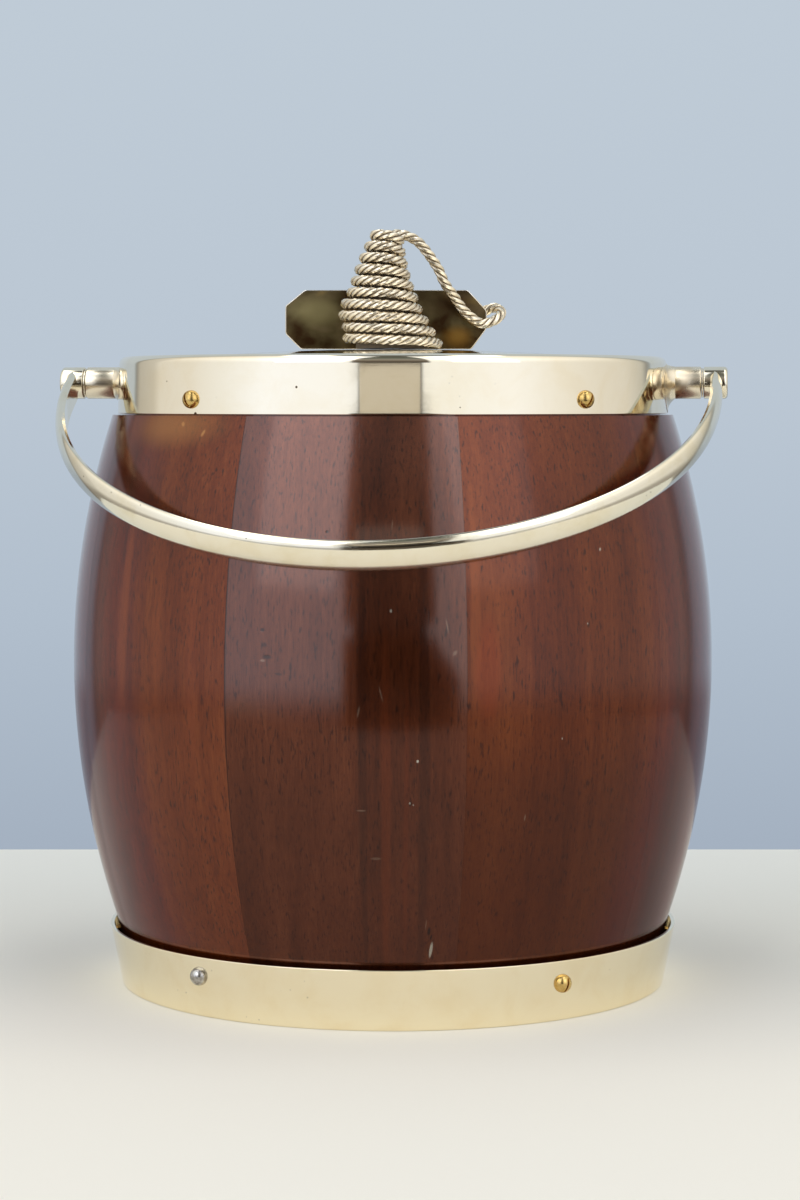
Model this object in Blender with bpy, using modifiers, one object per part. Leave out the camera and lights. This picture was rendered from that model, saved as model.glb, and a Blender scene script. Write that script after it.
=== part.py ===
"""Biscuit barrel: a coopered wooden body with a plated collar, base band, bail handle and lid.

Metres, +Z up. The origin is the middle of the base, the handle's pivots lie along X, and the
handle hangs against the front of the belly, which faces -Y.
"""
import math

import bmesh
import bpy
from mathutils import Matrix, Vector

# General clearances
SEAT_GAP = 0.0003
CUT_OVERRUN = 0.004

# Wooden body, nine glued staves turned to one curve, sized outwards from its bored ends
CAVITY_END_RADIUS = 0.0603
RIM_WOOD = 0.0057
FOOT_WOOD = 0.0049
SHOULDER_PROUD = 0.0013
FOOT_LOOSENESS = 0.0013
BELLY_BULGE = 0.0094
BELLY_HEIGHT = 0.079
STAVE_WALL = 0.010
STAVE_COUNT = 9
FRONT_STAVE_LEFT = math.radians(-22.3)
FRONT_STAVE_RIGHT = math.radians(18.7)
GLUE_LINE = 0.0003

# Bottom board in its croze groove
CROZE_DEPTH = 0.0020
BOARD_UNDERSIDE = 0.0053
BOARD_THICKNESS = 0.0080

# Plated collar over the rim
COLLAR_TOP = 0.1524
COLLAR_HEIGHT = 0.0139
COLLAR_TAPER = 0.0003
COLLAR_WALL = 0.0010
COLLAR_EDGE_ROUND = 0.0015
RIM_LAND_WIDTH = 0.0047
LID_RECESS_DEPTH = 0.0024
LEDGE_WIDTH = 0.0066

# Base band round the foot
BAND_HEIGHT = 0.0142
BAND_FLARE = 0.0029
BAND_WALL = 0.0009
BAND_EDGE_CHAMFER = 0.0003

# Glazed liner
LINER_WALL = 0.0034
LINER_FLOOR = 0.0050
LINER_LIP = 0.0008
LINER_LIP_HEIGHT = 0.0060
LINER_BODY_ROUND = 0.0030

# Screws, round headed and driven square to what they hold
SCREW_HEAD_RADIUS = 0.00215
SCREW_HEAD_HEIGHT = 0.0020
SCREW_SLOT_WIDTH = 0.0005
SCREW_SLOT_DEPTH = 0.0009
SCREW_SHANK_RADIUS = 0.0010
SCREW_SHANK_LENGTH = 0.0052
COLLAR_SCREW_RISE = 0.0035
COLLAR_SCREWS = ((-37.0, 18.0), (47.5, -27.0), (143.0, 64.0), (-132.5, -40.0))
BASE_SCREW_DROP = 0.0054
BASE_SCREWS = ((41.1, -12.0), (112.3, 35.0), (183.5, 80.0), (-105.3, 8.0))
STEEL_SCREW_ANGLE = -34.1
STEEL_SCREW_DROP = 0.0046

# Lugs that carry the handle
PIVOT_RISE = 0.0075
TRUNNION_RADIUS = 0.00395
TRUNNION_LENGTH = 0.00515
TRUNNION_CHAMFER = 0.0003
LUG_FLARE_LENGTH = 0.0019
LUG_FOOT_PROUD = 0.0014
LUG_FOOT_HALF_WIDTH = 0.0070
LUG_FOOT_HALF_HEIGHT = 0.00625
LUG_FOOT_DROP = 0.00105

# Handle pins and washers
PIN_RADIUS = 0.0015
PIN_DEPTH_IN_LUG = 0.00645
PIN_DEPTH_IN_HUB = 0.0036
PIN_CLEARANCE = 0.0001
WASHER_RADIUS = 0.0036
WASHER_THICKNESS = 0.0004
WASHER_GAP = 0.00012

# Bail handle, a flat-backed half-round bar bent to a hoop
ARM_INSET = 0.00166
HOOP_STRAIGHT = 0.0085
BAR_HALF_WIDTH = 0.00355
BAR_THICKNESS = 0.0025
BAR_EDGE_ROUND = 0.0007
BAR_HUB_THICKNESS = 0.0033
BAR_SWELL_LENGTH = 0.030
HUB_RADIUS = 0.00395
HUB_LENGTH = 0.0058
HUB_ROUND = 0.0009
ARM_HEEL = 0.0010

# Lid, a shallow spun dome with a bezel that drops into the liner's mouth
LID_CLEARANCE = 0.0004
LID_SHEET = 0.0010
LID_RISE = 0.0029
LID_TURN = math.radians(6.5)
BEZEL_CLEARANCE = 0.0007
BEZEL_WALL = 0.0008
BEZEL_DEPTH = 0.0072
BEZEL_FLANGE = 0.0030

# Wound finial, from its lowest turn upwards
ROPE_RADIUS = 0.0011
ROPE_TURNS = 9.75
ROPE_PITCH = 0.0028
ROPE_LOW_GAP = 0.0004
ROPE_TOP_RADIUS = 0.0032
ROPE_RADIUS_STEP = 0.00086
ROPE_FIRST_SHIFT = -0.0001
ROPE_LEAN = -0.0013
ROPE_BOW = -0.0020
ROPE_NOD = 0.27
ROPE_POINTS_PER_TURN = 24
ROPE_TAIL = ((0.0006, 0.00325, 0.0271), (0.0034, 0.0036, 0.0268), (0.0063, 0.0042, 0.0253),
             (0.0089, 0.0050, 0.0223), (0.0115, 0.0062, 0.0184), (0.0129, 0.0072, 0.0153),
             (0.0152, 0.0088, 0.0121), (0.0175, 0.0103, 0.0088), (0.0201, 0.0110, 0.0064),
             (0.0224, 0.0113, 0.0052), (0.0253, 0.0117, 0.0060), (0.0273, 0.0132, 0.0079),
             (0.0275, 0.0154, 0.0098), (0.0260, 0.0175, 0.0107), (0.0238, 0.0184, 0.0100),
             (0.0221, 0.0179, 0.0092))
CORE_CLEARANCE = 0.0006
CORE_TOP_DROP = 0.0010

# Finial stud, washer and nut under the lid
STUD_RADIUS = 0.0020
STUD_REACH_UP = 0.0070
STUD_REACH_DOWN = 0.0058
STUD_WASHER_RADIUS = 0.0045
STUD_WASHER_THICKNESS = 0.0008
NUT_RADIUS = 0.0040
NUT_THICKNESS = 0.0028

# Plaque behind the finial, in the lid's own turned frame
PLAQUE_THICKNESS = 0.0010
PLAQUE_SPACING = 0.0007
PLAQUE_LEFT = -0.0270
PLAQUE_RIGHT = 0.0236
PLAQUE_HEIGHT = 0.0149
PLAQUE_CUTS = {"top left": (0.0049, 0.0040), "top right": (0.0047, 0.0052),
               "bottom left": (0.0039, 0.0039), "bottom right": (0.0039, 0.0052)}

# Smoothness of round pieces
TURN_STEPS = 54
LINER_STEPS = 36
LUG_STEPS = 24
SMALL_STEPS = 16
SCREW_STEPS = 12
STAVE_STEPS = 6
SIDE_POINTS = 12
CAVITY_POINTS = 10
ARC_POINTS = 4
ROUND_POINTS = 3
ROPE_TAIL_PIECES = 3
DOME_POINTS = 6
CORE_POINTS = 8
HOOP_STEPS = 36
SHARP_ANGLE = math.radians(32)

# Heights and radii that follow from the sizes above
SPIGOT_RADIUS = CAVITY_END_RADIUS + RIM_WOOD
COLLAR_TOP_RADIUS = SPIGOT_RADIUS + SEAT_GAP + COLLAR_WALL
COLLAR_BOTTOM_RADIUS = COLLAR_TOP_RADIUS + COLLAR_TAPER
COLLAR_BOTTOM = COLLAR_TOP - COLLAR_HEIGHT
SHOULDER_HEIGHT = COLLAR_BOTTOM - SEAT_GAP
LEDGE_TOP = COLLAR_TOP - LID_RECESS_DEPTH
RIM_HEIGHT = LEDGE_TOP - COLLAR_WALL - SEAT_GAP
LID_RECESS_RADIUS = COLLAR_TOP_RADIUS - RIM_LAND_WIDTH
LEDGE_INNER_RADIUS = LID_RECESS_RADIUS - LEDGE_WIDTH
COLLAR_SCREW_HEIGHT = COLLAR_BOTTOM + COLLAR_SCREW_RISE
FOOT_RADIUS = CAVITY_END_RADIUS + FOOT_WOOD
BAND_BOTTOM_RADIUS = FOOT_RADIUS + SEAT_GAP + BAND_WALL
BAND_TOP_RADIUS = BAND_BOTTOM_RADIUS + BAND_FLARE
FOOT_TOP_RADIUS = BAND_TOP_RADIUS - BAND_WALL - FOOT_LOOSENESS
SHOULDER_RADIUS = COLLAR_BOTTOM_RADIUS + SHOULDER_PROUD
BELLY_RADIUS = SHOULDER_RADIUS + BELLY_BULGE
BOARD_TOP = BOARD_UNDERSIDE + BOARD_THICKNESS
CROZE_RADIUS = CAVITY_END_RADIUS + CROZE_DEPTH
LINER_BOTTOM = BOARD_TOP + SEAT_GAP
LINER_LIP_RADIUS = CAVITY_END_RADIUS - SEAT_GAP
LINER_BODY_RADIUS = LINER_LIP_RADIUS - LINER_LIP
LINER_MOUTH_RADIUS = LINER_BODY_RADIUS - LINER_WALL
SCREW_HOLE_RADIUS = SCREW_SHANK_RADIUS + SEAT_GAP
BAND_SLOPE = math.atan2(BAND_FLARE, BAND_HEIGHT)
PIVOT_HEIGHT = COLLAR_BOTTOM + PIVOT_RISE
LUG_FOOT_FACE = COLLAR_TOP_RADIUS + LUG_FOOT_PROUD
LUG_FLARE_START = LUG_FOOT_FACE + LUG_FLARE_LENGTH
TRUNNION_END = LUG_FLARE_START + TRUNNION_LENGTH
HUB_INNER_END = TRUNNION_END + WASHER_THICKNESS + 2 * WASHER_GAP
BAR_INNER_FACE = HUB_INNER_END + ARM_INSET
PIN_INNER_END = TRUNNION_END - PIN_DEPTH_IN_LUG
PIN_OUTER_END = HUB_INNER_END + PIN_DEPTH_IN_HUB
LID_RADIUS = LID_RECESS_RADIUS - LID_CLEARANCE
LID_EDGE_TOP = LEDGE_TOP + SEAT_GAP + LID_SHEET
LID_CROWN = LID_EDGE_TOP + LID_RISE
DOME_RADIUS = (LID_RADIUS ** 2 + LID_RISE ** 2) / (2 * LID_RISE)
BEZEL_RADIUS = LINER_MOUTH_RADIUS - BEZEL_CLEARANCE
ROPE_START_HEIGHT = LID_CROWN + ROPE_LOW_GAP + ROPE_RADIUS
ROPE_FIRST_RADIUS = ROPE_TOP_RADIUS + ROPE_RADIUS_STEP * (ROPE_TURNS - 0.5)
PLAQUE_FRONT = ROPE_FIRST_RADIUS + ROPE_RADIUS + PLAQUE_SPACING
PLAQUE_BACK = PLAQUE_FRONT + PLAQUE_THICKNESS


def new_collection(name, hidden=False):
    """Add a collection to the scene."""
    collection = bpy.data.collections.new(name)
    bpy.context.scene.collection.children.link(collection)
    collection.hide_render = hidden
    return collection


def principled(name, colour, roughness, metallic=0.0):
    """Make a plain Principled material."""
    material = bpy.data.materials.new(name)
    material.use_nodes = True
    shader = material.node_tree.nodes["Principled BSDF"]
    shader.inputs["Base Color"].default_value = (*colour, 1.0)
    shader.inputs["Roughness"].default_value = roughness
    shader.inputs["Metallic"].default_value = metallic
    material.diffuse_color = (*colour, 1.0)
    return material


def add_part(name, mesh, material, parent=None):
    """Put a mesh in the barrel's collection under its own name."""
    part = bpy.data.objects.new(name, mesh)
    BARREL.objects.link(part)
    if not mesh.materials:
        mesh.materials.append(material)
    part.parent = parent
    return part


def add_cutter(name, mesh):
    """Put a mesh among the cutters, which only shape other pieces."""
    cutter = bpy.data.objects.new(name, mesh)
    CUTTERS.objects.link(cutter)
    cutter.hide_render = True
    cutter.display_type = "WIRE"
    return cutter


def profile_mesh(name, points, closed):
    """Make a mesh of edges in the XZ plane from (radius, height) points."""
    shape = bmesh.new()
    verts = [shape.verts.new((radius, 0.0, height)) for radius, height in points]
    for first, second in zip(verts, verts[1:]):
        shape.edges.new((first, second))
    if closed:
        shape.edges.new((verts[-1], verts[0]))
    mesh = bpy.data.meshes.new(name)
    shape.to_mesh(mesh)
    shape.free()
    return mesh


def turn(part, steps):
    """Turn an object's profile round its own Z axis."""
    screw = part.modifiers.new("turned", "SCREW")
    screw.axis = "Z"
    screw.angle = math.tau
    screw.steps = steps
    screw.render_steps = steps
    screw.use_merge_vertices = True
    screw.merge_threshold = 0.00001
    screw.use_smooth_shade = True


def turned_part(name, points, closed, material, steps, parent=None):
    """Add a part turned from a profile that runs down its outer side."""
    part = add_part(name, profile_mesh(name, points, closed), material, parent)
    turn(part, steps)
    return part


def cut(part, cutter, operation="DIFFERENCE"):
    """Cut a piece by a cutter, or join the cutter to it."""
    boolean = part.modifiers.new(cutter.name, "BOOLEAN")
    boolean.operation = operation
    boolean.solver = "EXACT"
    boolean.object = cutter


def finished_mesh(part):
    """Return the mesh of an object as its modifiers leave it, and remove the object."""
    bpy.context.view_layer.update()
    evaluated = part.evaluated_get(bpy.context.evaluated_depsgraph_get())
    mesh = bpy.data.meshes.new_from_object(evaluated)
    mesh.name = part.name
    bpy.data.objects.remove(part)
    return mesh


def shade(mesh):
    """Shade a mesh smooth and keep its real edges sharp."""
    mesh.shade_smooth()
    mesh.set_sharp_from_angle(angle=SHARP_ANGLE)


def arc(centre, radius, start, end, count):
    """List points of an arc as (radius, height), angles in degrees from the outward direction."""
    points = []
    for step in range(count + 1):
        angle = math.radians(start + (end - start) * step / count)
        points.append((centre[0] + radius * math.cos(angle), centre[1] + radius * math.sin(angle)))
    return points


def side_radius(height):
    """Give the outside radius of the staves at a height, a bulge that dies away towards both ends."""
    above = height > BELLY_HEIGHT
    end_height = SHOULDER_HEIGHT if above else BAND_HEIGHT
    end_radius = SHOULDER_RADIUS if above else FOOT_TOP_RADIUS
    share = (height - BELLY_HEIGHT) / (end_height - BELLY_HEIGHT)
    return BELLY_RADIUS - (BELLY_RADIUS - end_radius) * share ** 2


def cavity_radius(height):
    """Give the inside radius of the staves, bored straight near both ends."""
    return max(side_radius(height) - STAVE_WALL, CAVITY_END_RADIUS)


def stave_section():
    """List the outline of a stave's section as (radius, height), down its outer side."""
    points = [(SPIGOT_RADIUS, RIM_HEIGHT), (SPIGOT_RADIUS, SHOULDER_HEIGHT)]
    for step in range(SIDE_POINTS + 1):
        height = SHOULDER_HEIGHT + (BAND_HEIGHT - SHOULDER_HEIGHT) * step / SIDE_POINTS
        points.append((side_radius(height), height))
    points += [(FOOT_RADIUS, 0.0), (CAVITY_END_RADIUS, 0.0)]
    groove_bottom = BOARD_UNDERSIDE - SEAT_GAP
    groove_top = BOARD_TOP + SEAT_GAP
    points += [(CAVITY_END_RADIUS, groove_bottom), (CROZE_RADIUS, groove_bottom)]
    points += [(CROZE_RADIUS, groove_top), (CAVITY_END_RADIUS, groove_top)]
    for step in range(1, CAVITY_POINTS):
        height = groove_top + (RIM_HEIGHT - groove_top) * step / CAVITY_POINTS
        points.append((cavity_radius(height), height))
    points.append((CAVITY_END_RADIUS, RIM_HEIGHT))
    return points


def stave_mesh(name, start, end):
    """Spin the stave's section between two angles, measured from the front towards +X."""
    half_line = GLUE_LINE / 2 / BELLY_RADIUS
    start += half_line
    end -= half_line
    turn_to_start = Matrix.Rotation(start - math.pi / 2, 4, "Z")
    shape = bmesh.new()
    verts = [shape.verts.new(turn_to_start @ Vector((radius, 0.0, height)))
             for radius, height in stave_section()]
    face = shape.faces.new(verts)
    bmesh.ops.spin(shape, geom=[face, *face.edges, *face.verts], cent=(0, 0, 0), axis=(0, 0, 1),
                   angle=end - start, steps=STAVE_STEPS)
    bmesh.ops.recalc_face_normals(shape, faces=shape.faces)
    mesh = bpy.data.meshes.new(name)
    shape.to_mesh(mesh)
    shape.free()
    shade(mesh)
    return mesh


def radial_frame(angle, height, radius, tip=0.0, roll=0.0):
    """Give a placement whose Z points outwards at an angle in degrees, tipped down and rolled."""
    outwards = Matrix.Rotation(math.radians(angle) - math.pi / 2, 4, "Z")
    place = outwards @ Matrix.Translation((radius, 0, height))
    return place @ Matrix.Rotation(math.pi / 2 + tip, 4, "Y") @ Matrix.Rotation(roll, 4, "Z")


def collar_radius(height):
    """Give the collar's outside radius at a height."""
    share = (height - COLLAR_BOTTOM) / COLLAR_HEIGHT
    return COLLAR_BOTTOM_RADIUS + (COLLAR_TOP_RADIUS - COLLAR_BOTTOM_RADIUS) * share


def band_radius(height):
    """Give the base band's outside radius at a height."""
    return BAND_BOTTOM_RADIUS + (BAND_TOP_RADIUS - BAND_BOTTOM_RADIUS) * height / BAND_HEIGHT


def screw_places():
    """List each screw as (name, angle, placement of its head's seat, group)."""
    places = []
    for number, (angle, roll) in enumerate(COLLAR_SCREWS, 1):
        radius = collar_radius(COLLAR_SCREW_HEIGHT)
        frame = radial_frame(angle, COLLAR_SCREW_HEIGHT, radius, 0.0, math.radians(roll))
        places.append((f"collar_screw_{number}", angle, frame, "collar"))
    height = BAND_HEIGHT - STEEL_SCREW_DROP
    steel = radial_frame(STEEL_SCREW_ANGLE, height, band_radius(height), BAND_SLOPE)
    places.append(("base_screw_1", STEEL_SCREW_ANGLE, steel, "steel"))
    height = BAND_HEIGHT - BASE_SCREW_DROP
    for number, (angle, roll) in enumerate(BASE_SCREWS, 2):
        frame = radial_frame(angle, height, band_radius(height), BAND_SLOPE, math.radians(roll))
        places.append((f"base_screw_{number}", angle, frame, "band"))
    return places


def screw_mesh(name, slotted):
    """Model one round-headed screw along Z, its head's seat at the origin."""
    crown = SEAT_GAP + SCREW_HEAD_HEIGHT
    points = []
    for step in range(ARC_POINTS + 1):
        angle = math.pi / 2 * (1 - step / ARC_POINTS)
        points.append((SCREW_HEAD_RADIUS * math.cos(angle), SEAT_GAP + SCREW_HEAD_HEIGHT * math.sin(angle)))
    points[0] = (0.0, crown)
    points += [(SCREW_SHANK_RADIUS, SEAT_GAP), (SCREW_SHANK_RADIUS, -SCREW_SHANK_LENGTH + SCREW_SHANK_RADIUS)]
    points += [(0.0, -SCREW_SHANK_LENGTH)]
    blank = add_cutter(name, profile_mesh(name, points, False))
    turn(blank, SCREW_STEPS)
    if slotted:
        slot = add_cutter("screw_slot", box_mesh("screw_slot", 4 * SCREW_HEAD_RADIUS, SCREW_SLOT_WIDTH,
                                                 2 * SCREW_SLOT_DEPTH))
        slot.location = (0, 0, crown)
        cut(blank, slot)
    return finished_mesh(blank)


def box_mesh(name, length, width, height):
    """Make a box centred on the origin."""
    shape = bmesh.new()
    bmesh.ops.create_cube(shape, size=1.0, matrix=Matrix.Diagonal((length, width, height, 1.0)))
    mesh = bpy.data.meshes.new(name)
    shape.to_mesh(mesh)
    shape.free()
    return mesh


def rod_mesh(name, low_radius, high_radius, low, high, steps):
    """Make a rod or cone along Z between two heights."""
    shape = bmesh.new()
    bmesh.ops.create_cone(shape, cap_ends=True, segments=steps, radius1=low_radius, radius2=high_radius,
                          depth=high - low, matrix=Matrix.Translation((0, 0, (low + high) / 2)))
    mesh = bpy.data.meshes.new(name)
    shape.to_mesh(mesh)
    shape.free()
    return mesh


def make_screws(holed):
    """Add the screws, and drill what each one goes through."""
    meshes = {"collar": screw_mesh("brass_screw", True), "steel": screw_mesh("steel_screw", False)}
    meshes["band"] = meshes["collar"]
    hole_mesh = rod_mesh("screw_hole", SCREW_HOLE_RADIUS, SCREW_HOLE_RADIUS,
                         -SCREW_SHANK_LENGTH - SEAT_GAP, CUT_OVERRUN, SCREW_STEPS)
    for name, angle, frame, group in screw_places():
        screw = add_part(name, meshes[group], STEEL if group == "steel" else SCREW_BRASS)
        screw.matrix_world = frame
        shade(screw.data)
        hole = add_cutter(f"{name}_hole", hole_mesh)
        hole.matrix_world = frame
        cut(holed["collar" if group == "collar" else "band"], hole)
        for stave, start, end in holed["staves"]:
            if start <= math.radians(angle) % math.tau < end or start <= math.radians(angle) < end:
                cut(stave, hole)


def make_staves():
    """Add the nine staves and return each with the angles of its joints."""
    rest = math.tau - (FRONT_STAVE_RIGHT - FRONT_STAVE_LEFT)
    width = rest / (STAVE_COUNT - 1)
    joints = [FRONT_STAVE_LEFT] + [FRONT_STAVE_RIGHT + width * step for step in range(STAVE_COUNT)]
    staves = []
    for number, (start, end) in enumerate(zip(joints, joints[1:]), 1):
        name = f"stave_{number:02d}"
        stave = add_part(name, stave_mesh(name, start, end), MAHOGANY)
        staves.append((stave, start, end))
    return staves


def make_bottom_board():
    """Add the round board that closes the barrel's foot."""
    radius = CROZE_RADIUS - SEAT_GAP
    points = [(0, BOARD_TOP), (radius, BOARD_TOP), (radius, BOARD_UNDERSIDE), (0, BOARD_UNDERSIDE)]
    turned_part("bottom_board", points, False, BOARD_WOOD, LINER_STEPS)


def make_collar():
    """Add the pressed collar: a skirt, a rounded rim and the ledge that the lid rests on."""
    round_centre = (COLLAR_TOP_RADIUS - COLLAR_EDGE_ROUND, COLLAR_TOP - COLLAR_EDGE_ROUND)
    outside = [(LID_RECESS_RADIUS, COLLAR_TOP)] + arc(round_centre, COLLAR_EDGE_ROUND, 90, 0, ARC_POINTS)
    outside.append((COLLAR_BOTTOM_RADIUS, COLLAR_BOTTOM))
    inside = [(COLLAR_BOTTOM_RADIUS - COLLAR_WALL, COLLAR_BOTTOM)]
    inside += [(COLLAR_TOP_RADIUS - COLLAR_WALL, COLLAR_TOP - COLLAR_EDGE_ROUND)]
    inside += [(COLLAR_TOP_RADIUS - COLLAR_EDGE_ROUND, COLLAR_TOP - COLLAR_WALL)]
    inside += [(LID_RECESS_RADIUS + COLLAR_WALL, COLLAR_TOP - COLLAR_WALL)]
    inside += [(LID_RECESS_RADIUS + COLLAR_WALL, LEDGE_TOP - COLLAR_WALL)]
    inside += [(LEDGE_INNER_RADIUS, LEDGE_TOP - COLLAR_WALL), (LEDGE_INNER_RADIUS, LEDGE_TOP)]
    inside += [(LID_RECESS_RADIUS, LEDGE_TOP)]
    return turned_part("top_collar", outside + inside, True, COLLAR_PLATE, TURN_STEPS)


def make_base_band():
    """Add the conical band round the foot."""
    edge = BAND_EDGE_CHAMFER
    points = [(BAND_TOP_RADIUS - edge, BAND_HEIGHT), (band_radius(BAND_HEIGHT - edge), BAND_HEIGHT - edge)]
    points += [(band_radius(edge), edge), (BAND_BOTTOM_RADIUS - edge, 0.0)]
    points += [(BAND_BOTTOM_RADIUS - BAND_WALL, 0.0), (BAND_TOP_RADIUS - BAND_WALL, BAND_HEIGHT)]
    return turned_part("base_band", points, True, BAND_PLATE, TURN_STEPS)


def make_liner():
    """Add the glazed pot that holds the biscuits."""
    foot = (LINER_BODY_RADIUS - LINER_BODY_ROUND, LINER_BOTTOM + LINER_BODY_ROUND)
    lip_half = LINER_LIP / 2
    floor = LINER_BOTTOM + LINER_FLOOR
    cove = (LINER_MOUTH_RADIUS - LINER_BODY_ROUND, floor + LINER_BODY_ROUND)
    inside = [(0.0, floor)] + arc(cove, LINER_BODY_ROUND, -90, 0, ROUND_POINTS)
    inside += [(LINER_MOUTH_RADIUS, RIM_HEIGHT - lip_half)]
    lip = [(LINER_MOUTH_RADIUS + lip_half, RIM_HEIGHT), (LINER_LIP_RADIUS - lip_half, RIM_HEIGHT)]
    lip += [(LINER_LIP_RADIUS, RIM_HEIGHT - lip_half), (LINER_LIP_RADIUS, RIM_HEIGHT - LINER_LIP_HEIGHT)]
    outside = [(LINER_BODY_RADIUS, RIM_HEIGHT - LINER_LIP_HEIGHT - LINER_LIP)]
    outside += arc(foot, LINER_BODY_ROUND, 0, -90, ROUND_POINTS) + [(0.0, LINER_BOTTOM)]
    turned_part("ceramic_liner", inside + lip + outside, False, GLAZE, LINER_STEPS)


def make_lug(name, side):
    """Add one lug: a trunnion that flares into an oval foot saddled to the collar."""
    flare_height = LUG_FOOT_HALF_WIDTH - TRUNNION_RADIUS
    flare_length = LUG_FLARE_START - LUG_FOOT_FACE
    points = [(0.0, TRUNNION_END), (TRUNNION_RADIUS - TRUNNION_CHAMFER, TRUNNION_END)]
    points += [(TRUNNION_RADIUS, TRUNNION_END - TRUNNION_CHAMFER)]
    for step in range(ARC_POINTS + 1):
        angle = math.pi / 2 * step / ARC_POINTS
        points.append((TRUNNION_RADIUS + flare_height * (1 - math.cos(angle)),
                       LUG_FLARE_START - flare_length * math.sin(angle)))
    points += [(LUG_FOOT_HALF_WIDTH, COLLAR_TOP_RADIUS - CUT_OVERRUN), (0.0, COLLAR_TOP_RADIUS - CUT_OVERRUN)]
    blank = add_cutter(f"{name}_blank", profile_mesh(name, points, False))
    turn(blank, LUG_STEPS)
    mesh = finished_mesh(blank)
    squat = LUG_FOOT_HALF_HEIGHT / LUG_FOOT_HALF_WIDTH
    for vert in mesh.vertices:
        share = min(max((LUG_FLARE_START - vert.co.z) / flare_length, 0.0), 1.0)
        vert.co.x = vert.co.x * (1 + share * (squat - 1)) + share * LUG_FOOT_DROP
    lug = add_part(name, mesh, LUG_PLATE)
    lug.matrix_world = axle_frame(side)
    low = COLLAR_BOTTOM - CUT_OVERRUN
    high = COLLAR_TOP + CUT_OVERRUN
    saddle = add_cutter(f"{name}_saddle", rod_mesh(f"{name}_saddle", collar_radius(low) + SEAT_GAP,
                                                  collar_radius(high) + SEAT_GAP, low, high, 2 * TURN_STEPS))
    bore = add_cutter(f"{name}_bore", rod_mesh(f"{name}_bore", PIN_RADIUS + PIN_CLEARANCE,
                                              PIN_RADIUS + PIN_CLEARANCE, PIN_INNER_END - SEAT_GAP,
                                              TRUNNION_END + CUT_OVERRUN, SMALL_STEPS))
    bore.matrix_world = axle_frame(side)
    cut(lug, saddle)
    cut(lug, bore)
    shade(mesh)


def axle_frame(side):
    """Give a placement whose Z runs out along the handle's axis on one side and whose X points down."""
    facing = Matrix.Rotation(0.0 if side > 0 else math.pi, 4, "Z")
    return Matrix.Translation((0, 0, PIVOT_HEIGHT)) @ facing @ Matrix.Rotation(math.pi / 2, 4, "Y")


def make_pivot(side_name, side):
    """Add the washer and the pin of one side."""
    low = TRUNNION_END + WASHER_GAP
    hole = PIN_RADIUS + 2 * PIN_CLEARANCE
    points = [(WASHER_RADIUS, low + WASHER_THICKNESS), (WASHER_RADIUS, low), (hole, low),
              (hole, low + WASHER_THICKNESS)]
    washer = turned_part(f"handle_washer_{side_name}", points, True, LUG_PLATE, SMALL_STEPS)
    washer.matrix_world = axle_frame(side)
    pin = add_part(f"pivot_pin_{side_name}", rod_mesh("pivot_pin", PIN_RADIUS, PIN_RADIUS, PIN_INNER_END,
                                                     PIN_OUTER_END, SMALL_STEPS), STEEL, HANDLE_AXIS)
    pin.rotation_euler = (0, side * math.pi / 2, 0)
    shade(pin.data)


def bar_section():
    """List the bar's section as (outwards, across): flat inside, half an ellipse outside."""
    bulge = BAR_THICKNESS - BAR_EDGE_ROUND
    points = [(0.0, -BAR_HALF_WIDTH + BAR_EDGE_ROUND)]
    for step in range(2 * ARC_POINTS + 1):
        angle = math.pi * (step / (2 * ARC_POINTS) - 0.5)
        points.append((BAR_EDGE_ROUND + bulge * math.cos(angle), BAR_HALF_WIDTH * math.sin(angle)))
    points.append((0.0, BAR_HALF_WIDTH - BAR_EDGE_ROUND))
    return [(BAR_INNER_FACE + outwards, across) for outwards, across in points]


def hoop_mesh(name):
    """Sweep the bar from one hub round the hoop to the other, in the plane of X and -Y."""
    shape = bmesh.new()
    verts = [shape.verts.new((outwards, ARM_HEEL, across)) for outwards, across in bar_section()]
    face = shape.faces.new(verts)
    forward = Vector((0, -HOOP_STRAIGHT - ARM_HEEL, 0))
    geom = extrude(shape, face, forward)
    result = bmesh.ops.spin(shape, geom=geom, cent=(0, -HOOP_STRAIGHT, 0), axis=(0, 0, 1),
                            angle=-math.pi, steps=HOOP_STEPS)
    end = [item for item in result["geom_last"] if isinstance(item, bmesh.types.BMFace)][0]
    extrude(shape, end, -forward)
    for vert in shape.verts:
        swell_towards_hub(vert)
    bmesh.ops.recalc_face_normals(shape, faces=shape.faces)
    mesh = bpy.data.meshes.new(name)
    shape.to_mesh(mesh)
    shape.free()
    return mesh


def extrude(shape, face, offset):
    """Pull a face along an offset and return the new face with its edges and corners."""
    is_end = all(len(edge.link_faces) > 1 for edge in face.edges)
    moved = bmesh.ops.extrude_face_region(shape, geom=[face])["geom"]
    verts = [item for item in moved if isinstance(item, bmesh.types.BMVert)]
    bmesh.ops.translate(shape, verts=verts, vec=offset)
    if is_end:
        bmesh.ops.delete(shape, geom=[face], context="FACES_ONLY")
    return moved


def swell_towards_hub(vert):
    """Thicken the outer side of the bar where it nears its hubs."""
    beyond = max(-vert.co.y - HOOP_STRAIGHT, 0.0)
    centre = Vector((0, max(vert.co.y, -HOOP_STRAIGHT), vert.co.z))
    outwards = vert.co - centre
    share = (outwards.length - BAR_INNER_FACE) / BAR_THICKNESS
    fade = max(1 - (beyond + abs(centre.y)) / BAR_SWELL_LENGTH, 0.0) ** 2
    vert.co += outwards.normalized() * share * fade * (BAR_HUB_THICKNESS - BAR_THICKNESS)


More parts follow.
